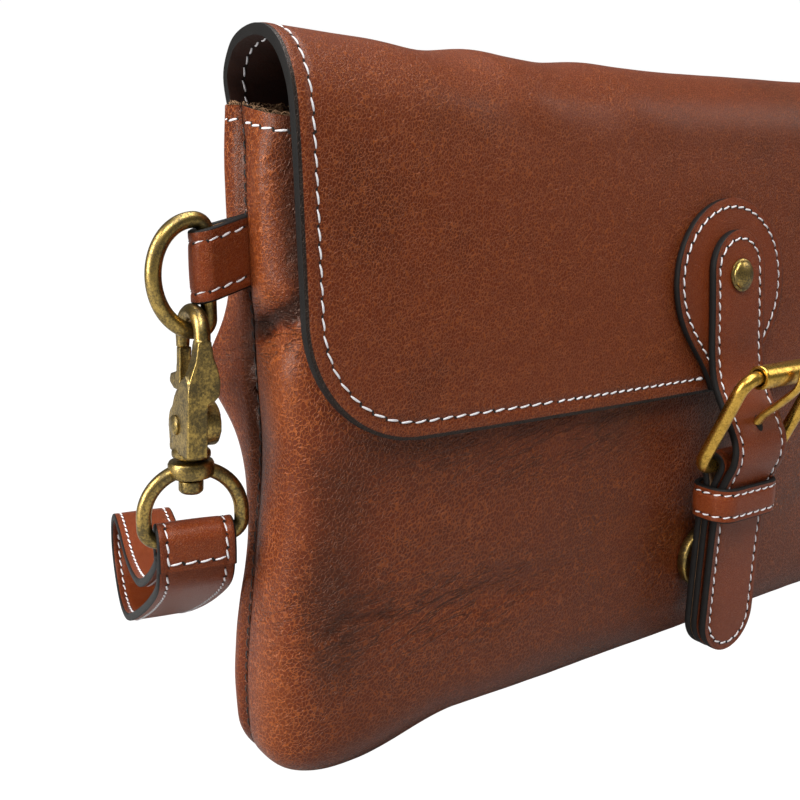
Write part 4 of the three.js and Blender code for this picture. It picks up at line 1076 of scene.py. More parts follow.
class BAG_OT_stage(bpy.types.Operator):
    """Set the floor, the lights and the camera"""

    bl_idname = "bag.stage"
    bl_label = "Stage"

    def execute(self, context):
        looks = context.scene.bag_stage
        self.floor(looks)
        for name in LIGHTS:
            self.light(name, getattr(looks, name))
        self.air(context.scene)
        place = tuple(metres(CAMERA_PLACE))
        bpy.ops.object.camera_add(location=place, rotation=(CAMERA_PITCH, 0, CAMERA_TURN))
        camera = context.object
        camera.data.lens, camera.data.sensor_width = LENS, SENSOR
        camera.data.clip_start = 0.01
        context.scene.camera = camera
        context.scene.view_settings.view_transform = "Standard"
        return {"FINISHED"}

    def floor(self, looks):
        """A pale floor that looks almost white to the camera."""
        bpy.ops.object.select_all(action="DESELECT")
        bpy.ops.mesh.primitive_circle_add(vertices=96, radius=6.0, fill_type="NGON", location=(0, 0, 0))
        floor = bpy.context.object
        floor.name = "floor"
        nodes, shader, place = new_material("pale_floor")
        tint = nodes.mix(nodes.noise(place, 40.0, 3.0), rgba(looks.floor, 0.98), rgba(looks.floor))
        nodes.feed(shader, {"Base Color": tint, "Roughness": 0.9})
        glow = nodes.add("ShaderNodeEmission", {"Color": (1, 1, 1, 1), "Strength": 1.2})
        seen = nodes.math("MULTIPLY", nodes.add("ShaderNodeLightPath").outputs["Is Camera Ray"], 0.86)
        blend = nodes.add("ShaderNodeMixShader", {0: seen, 1: shader.outputs[0], 2: glow.outputs[0]})
        nodes.feed(nodes.tree.nodes["Material Output"], {"Surface": blend.outputs[0]})
        floor.data.materials.append(bpy.data.materials["pale_floor"])

    def light(self, name, power):
        place, size, colour = LIGHTS[name]
        bpy.ops.object.light_add(type="AREA", location=place)
        lamp = bpy.context.object
        lamp.name = name
        lamp.data.shape = "RECTANGLE"
        lamp.data.size, lamp.data.size_y = size
        lamp.data.energy = power
        lamp.data.color = colour
        lamp.rotation_euler = (LIGHT_AIM - Vector(place)).to_track_quat("-Z", "Y").to_euler()

    def air(self, scene):
        """White air that is bright to the camera, and faint in reflections and as light."""
        scene.world = bpy.data.worlds.new("studio")
        scene.world.use_nodes = True
        nodes = Nodes(scene.world.node_tree)
        rays = nodes.add("ShaderNodeLightPath").outputs
        strength = nodes.weighted(rays["Is Camera Ray"], 0.95, rays["Is Glossy Ray"], 0.08)
        strength = nodes.math("ADD", strength, 0.06)
        nodes.feed(nodes.tree.nodes["Background"], {"Color": (1, 1, 1, 1), "Strength": strength})


class BAG_OT_pouch(bpy.types.Operator):
    """Build the front and back of the pouch, with creases, the side seam and the raw rim"""

    bl_idname = "bag.pouch"
    bl_label = "Pouch"

    def execute(self, context):
        points = panel_points("front_panel", 250, 30, 118)
        front = self.panel("pouch_front", "front_panel", points, -GAP / 2, self.front_marks(points))
        points = self.swollen(panel_points("back_panel", 200, 24, 90)[:, ::-1])
        back = self.panel("pouch_back", "back_panel", points, GAP / 2, self.back_marks(points))
        self.fibres()
        self.rim_stitches(front, back)
        self.seam_stitches()
        return {"FINISHED"}

    def swollen(self, points):
        """The back swells out below the ring tab and falls in again lower down."""
        x, y, z = np.moveaxis(points, -1, 0)
        swell = bell(z, 101, 19) - 0.3 * bell(z, 55, 15)
        swell = swell * smoothstep(-x, 60, 138) * np.minimum(np.abs(y - SEAM_Y) / 9, 1)
        return points + swell[..., None] * (-4.5, 8.0, 0)

    def front_marks(self, points):
        """Relief, tone and wrinkles of the front alone: creases, the ridge beside the flap, and painted shade
        and highlight.
        """
        x, y, z = np.moveaxis(points, -1, 0)
        out = np.abs(x)
        wobble = points + 0.9 * np.stack([noise_at(points, 5, seed) for seed in (1.3, 5.9, 8.4)], axis=-1)
        fold = sum(crease_height(wobble * (side, 1, 1), crease) for crease in SIDE_CREASES for side in BOTH)
        fold = fold + sum(crease_height(wobble, crease) for crease in FRONT_CREASES)
        wrinkle = sum(strength * spot(points, side * place, height, wide, tall)
                      for place, height, wide, tall, strength, sides in WRINKLES for side in sides)
        deepest = SIDE_CREASES[0][3]
        hollow = np.minimum(*(line_distance(points * (side, 1, 1), deepest)[0] for side in BOTH))
        # Painted shade and highlight: darker in the creases, paler on their lips, darkest along the deepest
        # crease
        tone = 0.5 * fold - 0.7 * bell(hollow, 0, 2.8)
        # Painted shadow under the flap's lower edge
        tone -= 0.3 * smoothstep(z, 62, 84) * (1 - smoothstep(out, 118, 136))
        # Painted shade low on the front where it turns to the side
        tone -= 0.65 * bell(out, 136, 12) * smoothstep(z, 5, 40) * (1 - smoothstep(z, 80, 100))
        # High on the sides beside the flap's edge: painted shade, and the ridge's relief
        upper = smoothstep(out, 134, 141) * smoothstep(z, 121, 131)
        tone -= 1.25 * upper * bell(y, -14.2, 5.8)
        ridge = (bell(y, -4.5, 3.0) - bell(y, -12.5, 3.6)) * upper * (1 - smoothstep(z, 156, 167))
        return fold + 0.9 * ridge, tone, wrinkle

    def back_marks(self, points):
        """Relief, tone and wrinkles of the back alone: painted shade and creases at the left end, where it
        swells below the ring tab.
        """
        x, _, z = np.moveaxis(points, -1, 0)
        end = smoothstep(-x, 124, 142)
        return 0 * z, -0.75 * end * bell(z, 97, 22), 0.4 * end * bell(z, 108, 12)

    def panel(self, name, node, points, shift, own_marks):
        """A panel with its sunken seam, soft unevenness and paler ends, on top of its own marks, with a
        painted highlight and painted shade.
        """
        x, y, z = np.moveaxis(points, -1, 0)
        from_seam, above = np.abs(y - SEAM_Y), z + STAND
        relief, tone, wrinkle = own_marks
        seam = smoothstep(above, 2, 14) * (1 - 0.7 * smoothstep(z, 158, 170))
        relief = relief - 1.6 * bell(from_seam, 0, 1.9) * seam
        relief += 0.35 * noise_at(points, 34, 3.1) * smoothstep(from_seam, 1, 9) * smoothstep(above, 1, 12)
        relief += 0.10 * noise_at(points, 9, 7.7) * smoothstep(above, 1, 8)
        # Paler at the ends, away from the seam
        tone = tone + 0.6 * smoothstep(np.abs(x), 138, 150) * smoothstep(from_seam, 2, 10)
        # Painted highlight on the bulge of the left side; darker along the seam
        tone += 0.18 * spot(points, -142, 92, 16, 22) - 0.5 * bell(from_seam, 0, 2.4)
        # Painted shade, darker towards the bottom
        tone -= 0.25 * smoothstep(30 - above, 0, 30)
        marks = {"tone": tone, "wrinkle": wrinkle, "relief": relief}
        piece = grid_mesh(name, points + (0, shift, 0), marks=marks)
        dress(piece, ["pouch_leather", "raw_suede", "edge_paint"], node=node)
        leather_wall(piece, PANEL_WALL, 0.5)
        for vertex in piece.data.vertices:
            vertex.co.z = max(vertex.co.z, 0.0)
        return piece

    def fibres(self):
        """Raw suede fibres along the cut rims, thickest at the side seams."""
        chance = np.random.default_rng(11)
        shapes, last = SmallShapes(), RIM_COLUMNS - 1
        faces = tube_faces(len(FIBRE_RADII), 3) + [(2, 1, 0), (12, 13, 14)]
        t = np.linspace(0, 1, len(FIBRE_RADII))[:, None]
        for node in PANELS:
            rim = panel_points(node, RIM_COLUMNS, 4, 60)[-1]
            inward = unit(np.column_stack([-rim[:, 0] * 0.05, SEAM_Y - rim[:, 1], 0 * rim[:, 0]]) + 1e-6)
            for _ in range(FIBRES):
                near_seam = chance.random() < FIBRES_NEAR_SEAM
                between = (2, SEAM_COLUMNS) if near_seam else (SEAM_COLUMNS, RIM_COLUMNS - SEAM_COLUMNS)
                at = chance.integers(*between)
                at = last - at if chance.random() < 0.5 else at
                run = unit(rim[min(at + 1, last)] - rim[at - 1])
                start = rim[at] + inward[at] * chance.uniform(0.7, 2.3) - 0.35 * UP
                step = unit(run * chance.choice((-1, 1)) + inward[at] * chance.normal(0, 0.35))
                length = chance.uniform(1.2, 3.4)
                lift = chance.uniform(0.3, 1.5) * np.sin(t * np.pi * chance.uniform(0.55, 0.95))
                curl = 0.35 * np.sin(t * chance.uniform(2, 6))
                strand = start + step * length * t + lift * UP + curl * inward[at]
                side = unit(np.cross(strand[-1] - strand[0], UP))
                ring = np.array([side * math.cos(angle) + UP * math.sin(angle) for angle in (0.5, 2.6, 4.7)])
                shapes.add((strand[:, None, :] + FIBRE_RADII[:, None, None] * ring).reshape(-1, 3), faces)
        shapes.build("rim_fibres", ["raw_suede"])

    def rim_stitches(self, front, back):
        rows = []
        for piece, node, facing in ((front, "front_panel", 1), (back, "back_panel", -1)):
            points = panel_points(node, RIM_COLUMNS, 4, 60)
            line = points[-1] - RIM_STITCH_IN * UP
            out = grid_normals(points)[-2] * facing
            rows.append(on_surface(surface_of(piece), line[2:-2], out[2:-2]))
        stitch_row("rim_stitches", rows, 3.9)

    def seam_stitches(self):
        z = np.linspace(166, 2.5, 146)
        half = pouch_at(z)[:, 0] - corner_inset(z + STAND, CORNER_ROUND) - 1.1
        rows = []
        for side in BOTH:
            line = np.column_stack([side * half, np.full(len(z), SEAM_Y), z])
            rows.append((line, np.tile(side * ACROSS, (len(z), 1))))
        stitch_row("seam_stitches", rows, 3.4, "seam_thread", share=0.62, slant=0.9, radius=0.24, hole=False)


class BAG_OT_flap(bpy.types.Operator):
    """Build the flap with its painted edge, lining and stitching"""

    bl_idname = "bag.flap"
    bl_label = "Flap"

    def execute(self, context):
        half = FLAP_HALF_WIDTH
        inner = np.linspace(-half + 11, half - 11, 196)
        across = np.concatenate([-half + FLAP_EDGE, inner, (half - FLAP_EDGE)[::-1]])[::-1] / half
        to_edge = np.concatenate([np.linspace(FLAP_LENGTH, 40, 96), np.linspace(39, 11, 24), FLAP_EDGE[::-1]])
        x = across[None, :] * flap_half(to_edge)[:, None]
        to_edge = np.broadcast_to(to_edge[:, None], x.shape)
        points = flap_surface(x, 1 - to_edge / FLAP_LENGTH)
        piece = grid_mesh("flap_leather", points, marks=self.marks(points, self.edge_distance(x, to_edge)))
        dress(piece, ["flap_leather", "dark_lining", "edge_paint"], node="flap")
        leather_wall(piece, FLAP_WALL, 0.6)
        self.stitches(surface_of(piece))
        return {"FINISHED"}

    def edge_distance(self, x, to_edge):
        """Distance from the flap's cut edge, on the flat leather."""
        to_side = flap_side(to_edge) - np.abs(x)
        corner = np.hypot(np.maximum(FLAP_CORNER - to_side, 0), np.maximum(FLAP_CORNER - to_edge, 0))
        in_corner = (to_side < FLAP_CORNER) & (to_edge < FLAP_CORNER)
        straight = np.minimum(np.minimum(to_side, to_edge), FLAP_LENGTH - to_edge)
        return np.where(in_corner, FLAP_CORNER - corner, straight)

    def marks(self, points, distance):
        """Tone, wrinkles, relief and edge paint, by place and by distance from the cut edge, with a painted
        highlight high on the left.
        """
        x, _, z = np.moveaxis(points, -1, 0)
        inside = smoothstep(distance, 6, 20)
        relief = -0.34 * bell(distance, FLAP_STITCH_IN, 0.75) - 0.3 * bell(distance, 0, 1.2)
        relief += (0.32 * noise_at(points, 46, 2.2) + 0.10 * noise_at(points, 13, 6.1)) * inside
        slanted = x - 0.8 * (186 - z)
        waves = sum(height * bell(slanted, place, reach) for height, place, reach in FLAP_WAVES)
        relief += waves * smoothstep(z, 158, 182) * inside
        # Painted highlight on the upper left of the flap; paler next to the cut edge
        tone = 0.22 * spot(points, -120, 172, 60, 22) + 0.12 * bell(distance, 0, 2.2)
        tone -= 0.14 * bell(distance, FLAP_STITCH_IN, 1.0)
        wrinkle = 0.12 * spot(points, -90, 118, 40, 14)
        painted = 1 - smoothstep(distance, 0.5, 1.4)
        return {"tone": tone, "wrinkle": wrinkle, "relief": relief, "painted": painted}

    def stitch_line(self):
        """Line of the stitching on the flat leather, from the right hem round the front to the left hem."""
        straight, radius = FLAP_HALF_WIDTH - FLAP_CORNER, FLAP_CORNER - FLAP_STITCH_IN
        right = arc((straight, FLAP_CORNER), radius, 0, -90, 40)
        left = arc((-straight, FLAP_CORNER), radius, -90, -180, 40)
        up_side = np.linspace(FLAP_LENGTH - 1, FLAP_CORNER, 200)
        side_right = np.column_stack([flap_half(up_side) - FLAP_STITCH_IN, up_side])
        side_left = (side_right * (-1, 1))[::-1]
        front = np.column_stack([np.linspace(straight, -straight, 200), np.full(200, FLAP_STITCH_IN)])
        return side_right[:-1], right, front[1:-1], left, side_left[1:]

    def on_flap(self, flat):
        """A line of the flat leather laid on the flap, with its normals."""
        x, to_edge = flat.T
        line, beside, behind = (flap_surface(x + dx, 1 - (to_edge + dy) / FLAP_LENGTH)
                                for dx, dy in ((0, 0), (0.5, 0), (0, 0.5)))
        return line, unit(np.cross(beside - line, behind - line))

    def stitches(self, surface):
        side_right, right, front, left, side_left = self.stitch_line()
        at_right, out = front[:, 0] > 0, np.abs(front[:, 0])
        near = out < FINE_STITCHES
        fine = near & (out > STITCH_STOP)
        runs = [np.concatenate([side_right, right, front[at_right & ~near]]),
                np.concatenate([front[~at_right & ~near], left, side_left])]
        hem = [np.column_stack([np.linspace(135, -135, 200), np.full(200, FLAP_LENGTH - inset)])
               for inset in (FLAP_STITCH_IN, 9.0)]
        tacks = [np.column_stack([side * np.linspace(10.6, 13.4, 6), np.full(6, FLAP_STITCH_IN)])
                 for side in BOTH]
        fine_runs = [front[at_right & fine], front[~at_right & fine]]
        outer, middle, ends = ([on_surface(surface, *self.on_flap(line)) for line in lines]
                               for lines in (runs + hem, fine_runs, tacks))
        inner = []
        for line, out in map(self.on_flap, runs):
            inner.append(on_surface(surface, line - out * FLAP_WALL, -out))
        pitch = bpy.context.scene.bag_thread.pitch / MM
        stitch_row("flap_stitches", outer, pitch)
        stitch_row("flap_front_stitches", middle, 3.3)
        stitch_row("flap_tacks", ends, 2.8, share=1.0, slant=0.0, radius=0.52)
        stitch_row("lining_stitches", inner, pitch)


class BAG_OT_closure(bpy.types.Operator):
    """Build the patch, closure strap, backing strap and keeper with their stitching"""

    bl_idname = "bag.closure"
    bl_label = "Closure strap"

    def execute(self, context):
        self.patch()
        self.strap()
        self.prong_slot()
        self.backing()
        self.keeper()
        return {"FINISHED"}

    def patch(self):
        t = np.linspace(0, 1, 60)
        turn = np.linspace(0, np.pi / 2, 40)[1:]
        centre, inset = PATCH_TOP - PATCH_RADIUS, 2.7
        low_z = bezier(t, PATCH_LOW, 100, 106, centre)
        low_half = bezier(t, PATCH_LOW_HALF, 12, PATCH_RADIUS, PATCH_RADIUS)
        z = np.concatenate([low_z, centre + PATCH_RADIUS * np.sin(turn)])[::-1]
        half = np.concatenate([low_half, PATCH_RADIUS * np.cos(turn)])[::-1].clip(0.4)
        front = np.column_stack([flap_front_y(z) - GAP - PATCH_WALL, z])
        out = facing_front(front)
        middle = in_3d(front - out * PATCH_WALL / 2)
        piece = strap_mesh("patch_leather", middle, ACROSS, in_3d(out), half, PATCH_WALL)
        dress_strap(piece, "strap_patch")
        outline = np.column_stack([half, z])
        edge_out = line_normals(outline)
        edge_out *= np.sign(edge_out[:, :1] + 1e-6)
        x, z = (outline - edge_out * inset).T
        kept = (x > 0) & (z < PATCH_TOP - inset + 0.2) & (z > PATCH_LOW + 5)
        x, z = x[kept], z[kept]
        x, z = np.concatenate([x[::-1], -x]), np.concatenate([z[::-1], z])
        line = np.column_stack([x, flap_front_y(z) - GAP - PATCH_WALL, z])
        stitch_row("patch_stitches", [on_surface(surface_of(piece), line, FORWARD)], 3.4)

    def strap(self):
        line = end_steps(strap_front, STRAP_HALF, 120)
        out = facing_front(line)
        half = round_ends(line[:, 1], STRAP_TIP_Z, STRAP_TOP_Z, STRAP_HALF)
        middle = in_3d(line - out * STRAP_WALL / 2)
        piece = strap_mesh("closure_leather", middle, ACROSS, in_3d(out), half, STRAP_WALL)
        dress_strap(piece, "closure_strap")
        edge, low, high = STRAP_HALF - STRAP_STITCH_IN, STRAP_TIP_Z + STRAP_HALF, STRAP_TOP_Z - STRAP_HALF
        z = np.linspace(high, low, 240)
        left, right = (np.column_stack([side * edge + 0 * z, z]) for side in BOTH)
        over, under = z > 100, z < 61
        lines = [np.concatenate([right[over][::-1], arc((0, high), edge, 0, 180, 40), left[over]]),
                 np.concatenate([left[under], arc((0, low), edge, 180, 360, 40), right[under][::-1]]),
                 left[~over & ~under], right[~over & ~under]]
        surface = surface_of(piece)
        rows = []
        for x, z in (line.T for line in lines):
            steep = strap_front_y(z + 0.5) - strap_front_y(z - 0.5)
            facing = unit(np.column_stack([0 * z, -np.ones(len(z)), steep]))
            rows.append(on_surface(surface, np.column_stack([x, strap_front_y(z), z]), facing))
        stitch_row("strap_stitches", rows, 3.4)

    def prong_slot(self):
        """Dark disc, painted shade of the slot where the prong comes through the strap."""
        z, sides = 79.6, 20
        turn = np.linspace(0, 2 * np.pi, sides, endpoint=False)[:, None]
        steep = float(strap_front_y(z + 0.5) - strap_front_y(z - 0.5))
        out = unit(np.array((0.0, -1.0, steep)))
        middle = np.array((0.0, float(strap_front_y(z)), z)) + 0.24 * out
        slot = SmallShapes()
        ring = np.cos(turn) * 1.5 * ACROSS + np.sin(turn) * 2.6 * np.cross(out, ACROSS)
        slot.add(middle + ring, [range(sides)])
        slot.build("prong_slot", ["needle_hole"])

    def backing(self):
        z = np.linspace(STRAP_TIP_Z, 60, 80)
        front = np.column_stack([strap_front_y(z) + STRAP_WALL + 0.9, z])
        fold = arc(BASE_BAR, 3.2, 190, -10, 30)
        line = evenly(np.concatenate([front + (1.25, 0), fold, front[::-1] + (3.8, 0)]), 200)
        half = round_ends(line[:, 1], STRAP_TIP_Z, 200, STRAP_HALF)
        piece = strap_mesh("backing_leather", in_3d(line), ACROSS, in_3d(line_normals(line)), half, 2.3)
        dress_strap(piece, "backing_strap")

    def keeper(self):
        low, high = (millimetres(corner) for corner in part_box("keeper"))
        wall, inset = KEEPER_WALL, KEEPER_STITCH_IN
        back = high[1] - wall / 2
        loop = rounded_frame(high[0] - wall / 2, low[1] + wall / 2, back, KEEPER_CORNER, 10, 140)
        run = unit(np.roll(loop, -1, axis=0) - np.roll(loop, 1, axis=0))
        out = np.column_stack([run[:, 1], -run[:, 0], 0 * run[:, 0]])
        middle = np.column_stack([loop, np.full(len(loop), (low[2] + high[2]) / 2)])
        half = (high[2] - low[2]) / 2
        piece = strap_mesh("keeper_leather", middle, UP, out, half, wall, groove=inset, closed_run=True)
        dress_strap(piece, "keeper")
        surface, face = surface_of(piece), middle + out * wall / 2
        order = np.roll(np.arange(len(face)), len(face) // 2)
        seen = order[face[order, 1] < back - 2]
        rows = [on_surface(surface, face[seen] + side * (half - inset) * UP, out[seen]) for side in BOTH]
        stitch_row("keeper_stitches", rows, 3.3)


class BAG_OT_buckle(bpy.types.Operator):
    """Build the roller buckle, the rivet cap and the snap"""

    bl_idname = "bag.buckle"
    bl_label = "Buckle"

    def execute(self, context):
        self.bow()
        self.roller()
        self.prong()
        self.rivet()
        self.snap()
        return {"FINISHED"}

    def bow(self):
        base, top = np.array((0, *BASE_BAR)), np.array((0, *ROLLER_BAR))
        length = np.linalg.norm(top - base)
        loop = rounded_frame(BUCKLE_HALF, 0, length, BUCKLE_CORNER, 12, 121)
        line = base + loop[:, :1] * ACROSS + loop[:, 1:] * ((top - base) / length)
        dress_buckle(tube("buckle_bow", line, BUCKLE_WIRE, 24), "buckle_frame")

    def roller(self):
        rim = ((2.6, 0.0), (2.75, -0.02), (3.3, 0.0), (3.55, 0.25), (3.6, 0.6))
        profile = [(r, h - ROLLER_HALF) for r, h in rim] + [(r, ROLLER_HALF - h) for r, h in rim[::-1]]
        piece = turned("buckle_tube", profile + profile[:1], (0, *ROLLER_BAR), ACROSS, 36)
        dress_buckle(piece, "buckle_roller")

    def prong(self):
        wrap = arc(BASE_BAR, BUCKLE_WIRE + GAP + PRONG_WIRE, 20, -170, 24)
        line = in_3d(evenly(np.concatenate([wrap, spline(PRONG_LINE, 50)]), 90))
        radius = PRONG_WIRE * (1 - 0.35 * smoothstep(np.linspace(0, 1, len(line)), 0.75, 1.0))
        piece = tube("buckle_tongue", line, radius, 14, closed=False)
        for vertex in piece.data.vertices:
            vertex.co.x *= PRONG_FLATNESS
        dress_buckle(piece, "buckle_prong")

    def rivet(self):
        lean = float(strap_front_y(RIVET_Z + 4) - strap_front_y(RIVET_Z - 4)) / 8
        place = (0, float(strap_front_y(RIVET_Z)) - GAP, RIVET_Z)
        turn = np.radians(np.linspace(0, 80, 9))
        dome = [(4.3 * math.cos(angle), 0.75 + 1.45 * math.sin(angle)) for angle in turn]
        profile = [(0, -0.2), (4.7, -0.2), (5.0, 0.1), (5.0, 0.45), (4.75, 0.68)] + dome + [(0, 2.2)]
        dress_fitting(turned("rivet_dome", profile, place, (0, -1, lean), 40), "rivet_cap")

    def snap(self):
        slope = float(pouch_at(SNAP_Z - 10)[1] - pouch_at(SNAP_Z + 10)[1]) / 20
        place = (0, float(pouch_at(SNAP_Z)[1]) - 1.5 * GAP, SNAP_Z)
        tall = place[1] - float(millimetres(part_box("snap_disc")[0])[1]) - 1.0
        face = ((11.0, 0.62), (10.8, 0.76), (10.2, 0.86), (8.6, 0.92), (6.1, 0.97), (3.0, 1), (0, 1))
        profile = [(0, 0), (9.9, 0), (10.7, 0.2), (11.0, 0.6)] + [(r, tall * share) for r, share in face]
        dress_fitting(turned("snap_cap", profile, place, (0, -1, -slope), 48), "snap_disc")


class BAG_OT_carrier(bpy.types.Operator):
    """Build the ring tab, the D-ring, the snap hook and its trigger, and the swivel eye"""

    bl_idname = "bag.carrier"
    bl_label = "Ring and hook"

    def execute(self, context):
        self.tab()
        self.ring()
        self.hook()
        self.eye()
        return {"FINISHED"}

    def tab(self):
        seam, wall, half, inset = TAB["seam"], TAB["wall"], TAB["height"] / 2, TAB["stitch_in"]
        bend = arc((RING["x"], SEAM_Y), RING["wire"] + GAP + wall / 2, 270, 90, 40)
        front = [(seam + 1.6, SEAM_Y - 1.2), (seam - 1.5, SEAM_Y - 1.75)]
        back = [(seam - 1.5, SEAM_Y + 1.75), (seam + 1.6, SEAM_Y + 1.2)]
        line = evenly(np.concatenate([front, bend, back]), 110)
        z = TAB["low"] + half + TAB["droop"] * (line[:, 0] - seam)
        middle, out = np.column_stack([line, z]), np.column_stack([line_normals(line), 0 * z])
        piece = strap_mesh("tab_leather", middle, UP, out, half, wall, groove=inset)
        dress_strap(piece, "ring_tab")
        surface, face = surface_of(piece), middle + out * wall / 2
        rows = [on_surface(surface, face[part] + side * (half - inset) * UP, out[part])
                for side in BOTH for part in (slice(6, 52), slice(58, 104))]
        stitch_row("tab_stitches", rows, 3.6)

    def ring(self):
        x, half, corner = RING["x"], RING["half"], RING["corner"]
        bar, turn = half - corner, np.radians(np.linspace(90, 270, 60))
        bow = np.column_stack([RING["bow_x"] + RING["reach"] * np.cos(turn), half * np.sin(turn)])
        upper = arc((x - corner, bar), corner, 0, 90, 10)
        lower = arc((x - corner, -bar), corner, 270, 360, 10)
        loop = evenly(np.concatenate([[(x, -bar)], upper, bow, lower]), 160)[:-1]
        line = np.column_stack([loop[:, 0], np.full(len(loop), SEAM_Y), RING["z"] + loop[:, 1]])
        dress_fitting(tube("dee_ring", line, RING["wire"], 24), "d_ring")

    def lean(self, points):
        """Places drawn upright about the hook's stem, turned to the hook's lean."""
        points = np.atleast_2d(np.array(points, float)) - (0, 0, HOOK_HANG_Z)
        c, s = math.cos(HOOK_LEAN), math.sin(HOOK_LEAN)
        x, y, z = points.T
        return np.column_stack([HOOK_X + x * c + z * s, y, HOOK_HANG_Z - x * s + z * c])

    def casting(self):
        """Hook body: round arch, leaf-shaped shoulder, cheek beside the trigger, pin plate and stem."""
        foot = 84.9
        bend = arc((5.0, 114.4), 6.2, 180, 0, 40)
        line = evenly(np.concatenate([[(-1.2, 104.0)], bend, [(11.2, 110.9)]]), 80)
        radius = 2.05 - 0.35 * smoothstep(np.linspace(0, 1, len(line)), 0.8, 1.0)
        arch = tube("arch", self.lean(in_3d(line)), radius, 24, closed=False)
        leaf = np.array([(1.6, 114), (2.3, 110), (3.5, 107), (4.2, 104), (4.0, 100.4), (2.6, 99.0),
                         (0.9, 98.4), (0.9, foot), (-4.2, foot), (-4.4, 101), (-3.8, 105), (-2.4, 109),
                         (-1.8, 114)])
        cheek = np.array([(-2.7, foot), (6.4, foot), (8.3, 92), (7.6, 96.5), (5.4, 100.5), (2.2, 103.6),
                          (-1, 105.8), (-2.7, 104)])
        plate = np.concatenate([[(0.0, foot)], arc((HOOK_Y, PIN_Z), 5.2, 200, -20, 24), [(9.4, foot)]])
        solids = [arch, prism("leaf", *(self.lean(np.insert(leaf, 1, y, axis=1)) for y in (-3.25, 0.8))),
                  prism("cheek", *(self.lean(in_3d(cheek, x)) for x in (-4.4, -1.95))),
                  prism("plate", *(self.lean(in_3d(plate, x)) for x in (-4.2, 1.0)))]
        stem = ((0, 0.6), (2.4, 0.8), (3.2, 1.6), (3.2, 4.3), (2.0, 4.5), (2.0, 9.9), (4.5, 10.2),
                (5.0, 10.7), (5.0, 11.9), (4.5, 12.6), (0, 12.6))
        low, high = self.lean([(0, HOOK_Y, 73.0), (0, HOOK_Y, 74.0)])
        solids.append(turned("stem", stem, low, high - low, 36))
        return cast(joined("hook_casting", solids), 0.27, 5)

    def hook(self):
        dress_fitting(self.casting(), "hook_body")
        dress_fitting(cast_copy("hook_trigger", "hook_lever", 0.24, 8), "hook_trigger", body="trigger")
        here, beside, place = self.lean([(0, 0, HOOK_HANG_Z), (1, 0, HOOK_HANG_Z), (-4.35, HOOK_Y, PIN_Z)])
        profile = ((0, 10.1), (1.3, 10.1), (1.3, 0), (2.45, 0), (2.6, -0.2), (2.55, -0.5), (2.1, -0.8),
                   (1.2, -1.0), (0, -1.05))
        dress_fitting(turned("pin_rivet", profile, place, beside - here, 32), "trigger_pin")

    def eye(self):
        half, bar, corner = EYE["half"], EYE["bar"], EYE["corner"]
        straight, turn = half - corner, np.radians(np.linspace(0, 180, 70))
        arch = np.column_stack([half * np.cos(turn), EYE["arch"] + EYE["rise"] * np.sin(turn)])
        right = arc((straight, bar + corner), corner, -90, 0, 12)
        left = arc((-straight, bar + corner), corner, 180, 270, 12)
        loop = evenly(np.concatenate([[(-straight, bar)], right, arch, left]), 140)[:-1]
        line = turned_about_stem(np.insert(loop, 1, 0, axis=1))
        ring = tube("eye_ring", line, EYE["wire"], 22)
        profile = ((2.55, 78.3), (5.0, 78.3), (5.55, 78.5), (5.9, 79.1), (5.9, 81.8), (5.55, 82.4),
                   (5.0, 82.6), (2.55, 82.6), (2.55, 78.3))
        barrel = turned("eye_barrel", profile, (EYE_X, HOOK_Y, 0), UP, 40)
        dress_fitting(joined("swivel_ring", [ring, barrel]), "swivel_eye")


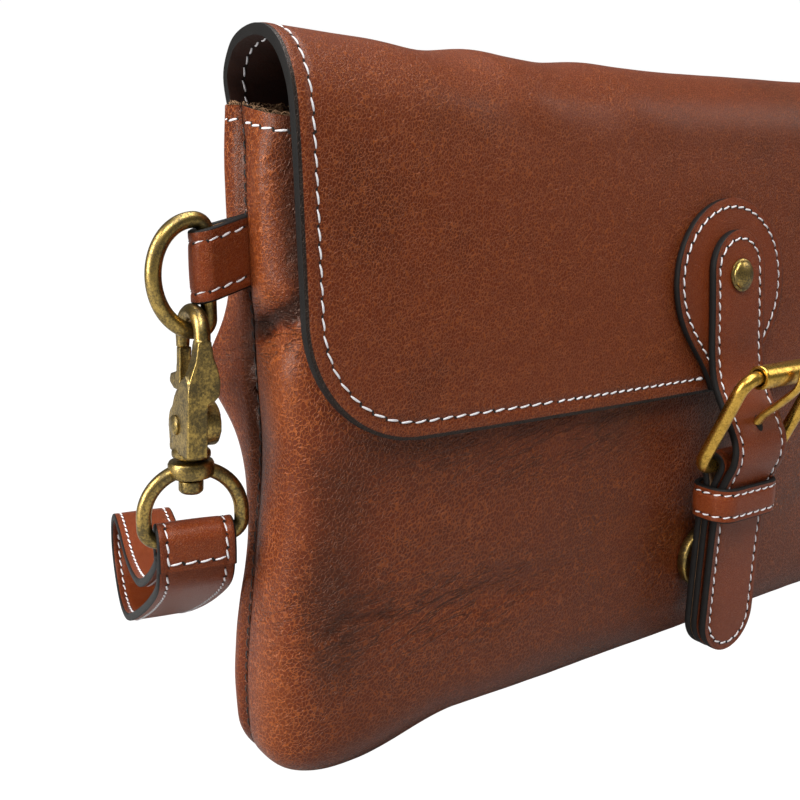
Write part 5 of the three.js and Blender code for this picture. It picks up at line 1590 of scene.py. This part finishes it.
class BAG_OT_wrist_strap(bpy.types.Operator):
    """Build the wrist strap's loop and its sewn fold round the eye"""

    bl_idname = "bag.wrist_strap"
    bl_label = "Wrist strap"

    def execute(self, context):
        loop = evenly(spline(WRIST_LINE, 300), 260)
        bend = arc((0, EYE["bar"]), 3.62, 180, 0, 36)
        fold = np.concatenate([[(-3.1, 54.6), (-3.6, 58.0)], bend, [(3.5, 58.5), (3.3, 55.0)]])
        edge = WRIST_HALF - STRAP_STITCH_IN
        pieces, rows = [], []
        for name, flat, wall in (("wrist_loop", loop, WRIST_WALL), ("wrist_fold", evenly(fold, 90), 2.1)):
            middle = turned_about_stem(in_3d(flat))
            out = turned_about_stem(in_3d(flat + line_normals(flat))) - middle
            side = turned_about_stem(in_3d(flat, 1)) - middle
            piece = strap_mesh(name, middle, side, out, WRIST_HALF, wall, back_band=0)
            pieces.append(piece)
            surface = surface_of(piece)
            for place in (-edge, edge):
                for face in (1, -1):
                    line = middle + side * place + out * face * wall / 2
                    rows.append(on_surface(surface, line[4:-4], out[4:-4] * face))
        across = np.linspace(-edge, edge, 30)[:, None]
        for row in (8, len(middle) - 9):
            line = middle[row] + across * side[row] + out[row] * wall / 2
            rows.append(on_surface(surface, line, out[row]))
        for piece in pieces:
            for material in STRAP_FINISH[:2]:
                piece.data.materials.append(bpy.data.materials[material])
        dress(joined("wrist_leather", pieces), [], node="wrist_strap")
        stitch_row("wrist_stitches", rows, 3.5)
        return {"FINISHED"}


class BAG_PT_sidebar(bpy.types.Panel):
    """Lists the steps that build the bag"""

    bl_idname = "BAG_PT_sidebar"
    bl_label = "Clutch bag"
    bl_space_type = "VIEW_3D"
    bl_region_type = "UI"
    bl_category = "Clutch bag"

    def draw(self, context):
        for looks in LOOKS:
            settings = getattr(context.scene, looks)
            box = self.layout.box()
            for key in settings.__annotations__:
                box.prop(settings, key)
        for step in STEPS:
            self.layout.operator(step.bl_idname)


LOOKS = {"bag_leather": LeatherLooks, "bag_thread": ThreadLooks, "bag_metal": MetalLooks,
         "bag_stage": StageLooks}
STEPS = (BAG_OT_finishes, BAG_OT_stage, BAG_OT_pouch, BAG_OT_flap, BAG_OT_closure, BAG_OT_buckle,
         BAG_OT_carrier, BAG_OT_wrist_strap)
CLASSES = (*LOOKS.values(), *STEPS, BAG_PT_sidebar)


def register():
    for made in CLASSES:
        bpy.utils.register_class(made)
    for key, kind in LOOKS.items():
        setattr(bpy.types.Scene, key, PointerProperty(type=kind))


def unregister():
    for key in LOOKS:
        delattr(bpy.types.Scene, key)
    for made in reversed(CLASSES):
        bpy.utils.unregister_class(made)


def main():
    register()
    bpy.ops.bag.finishes()
    bpy.ops.bag.stage()
    bpy.ops.bag.pouch()
    bpy.ops.bag.flap()
    bpy.ops.bag.closure()
    bpy.ops.bag.buckle()
    bpy.ops.bag.carrier()
    bpy.ops.bag.wrist_strap()


if __name__ == "__main__":
    main()
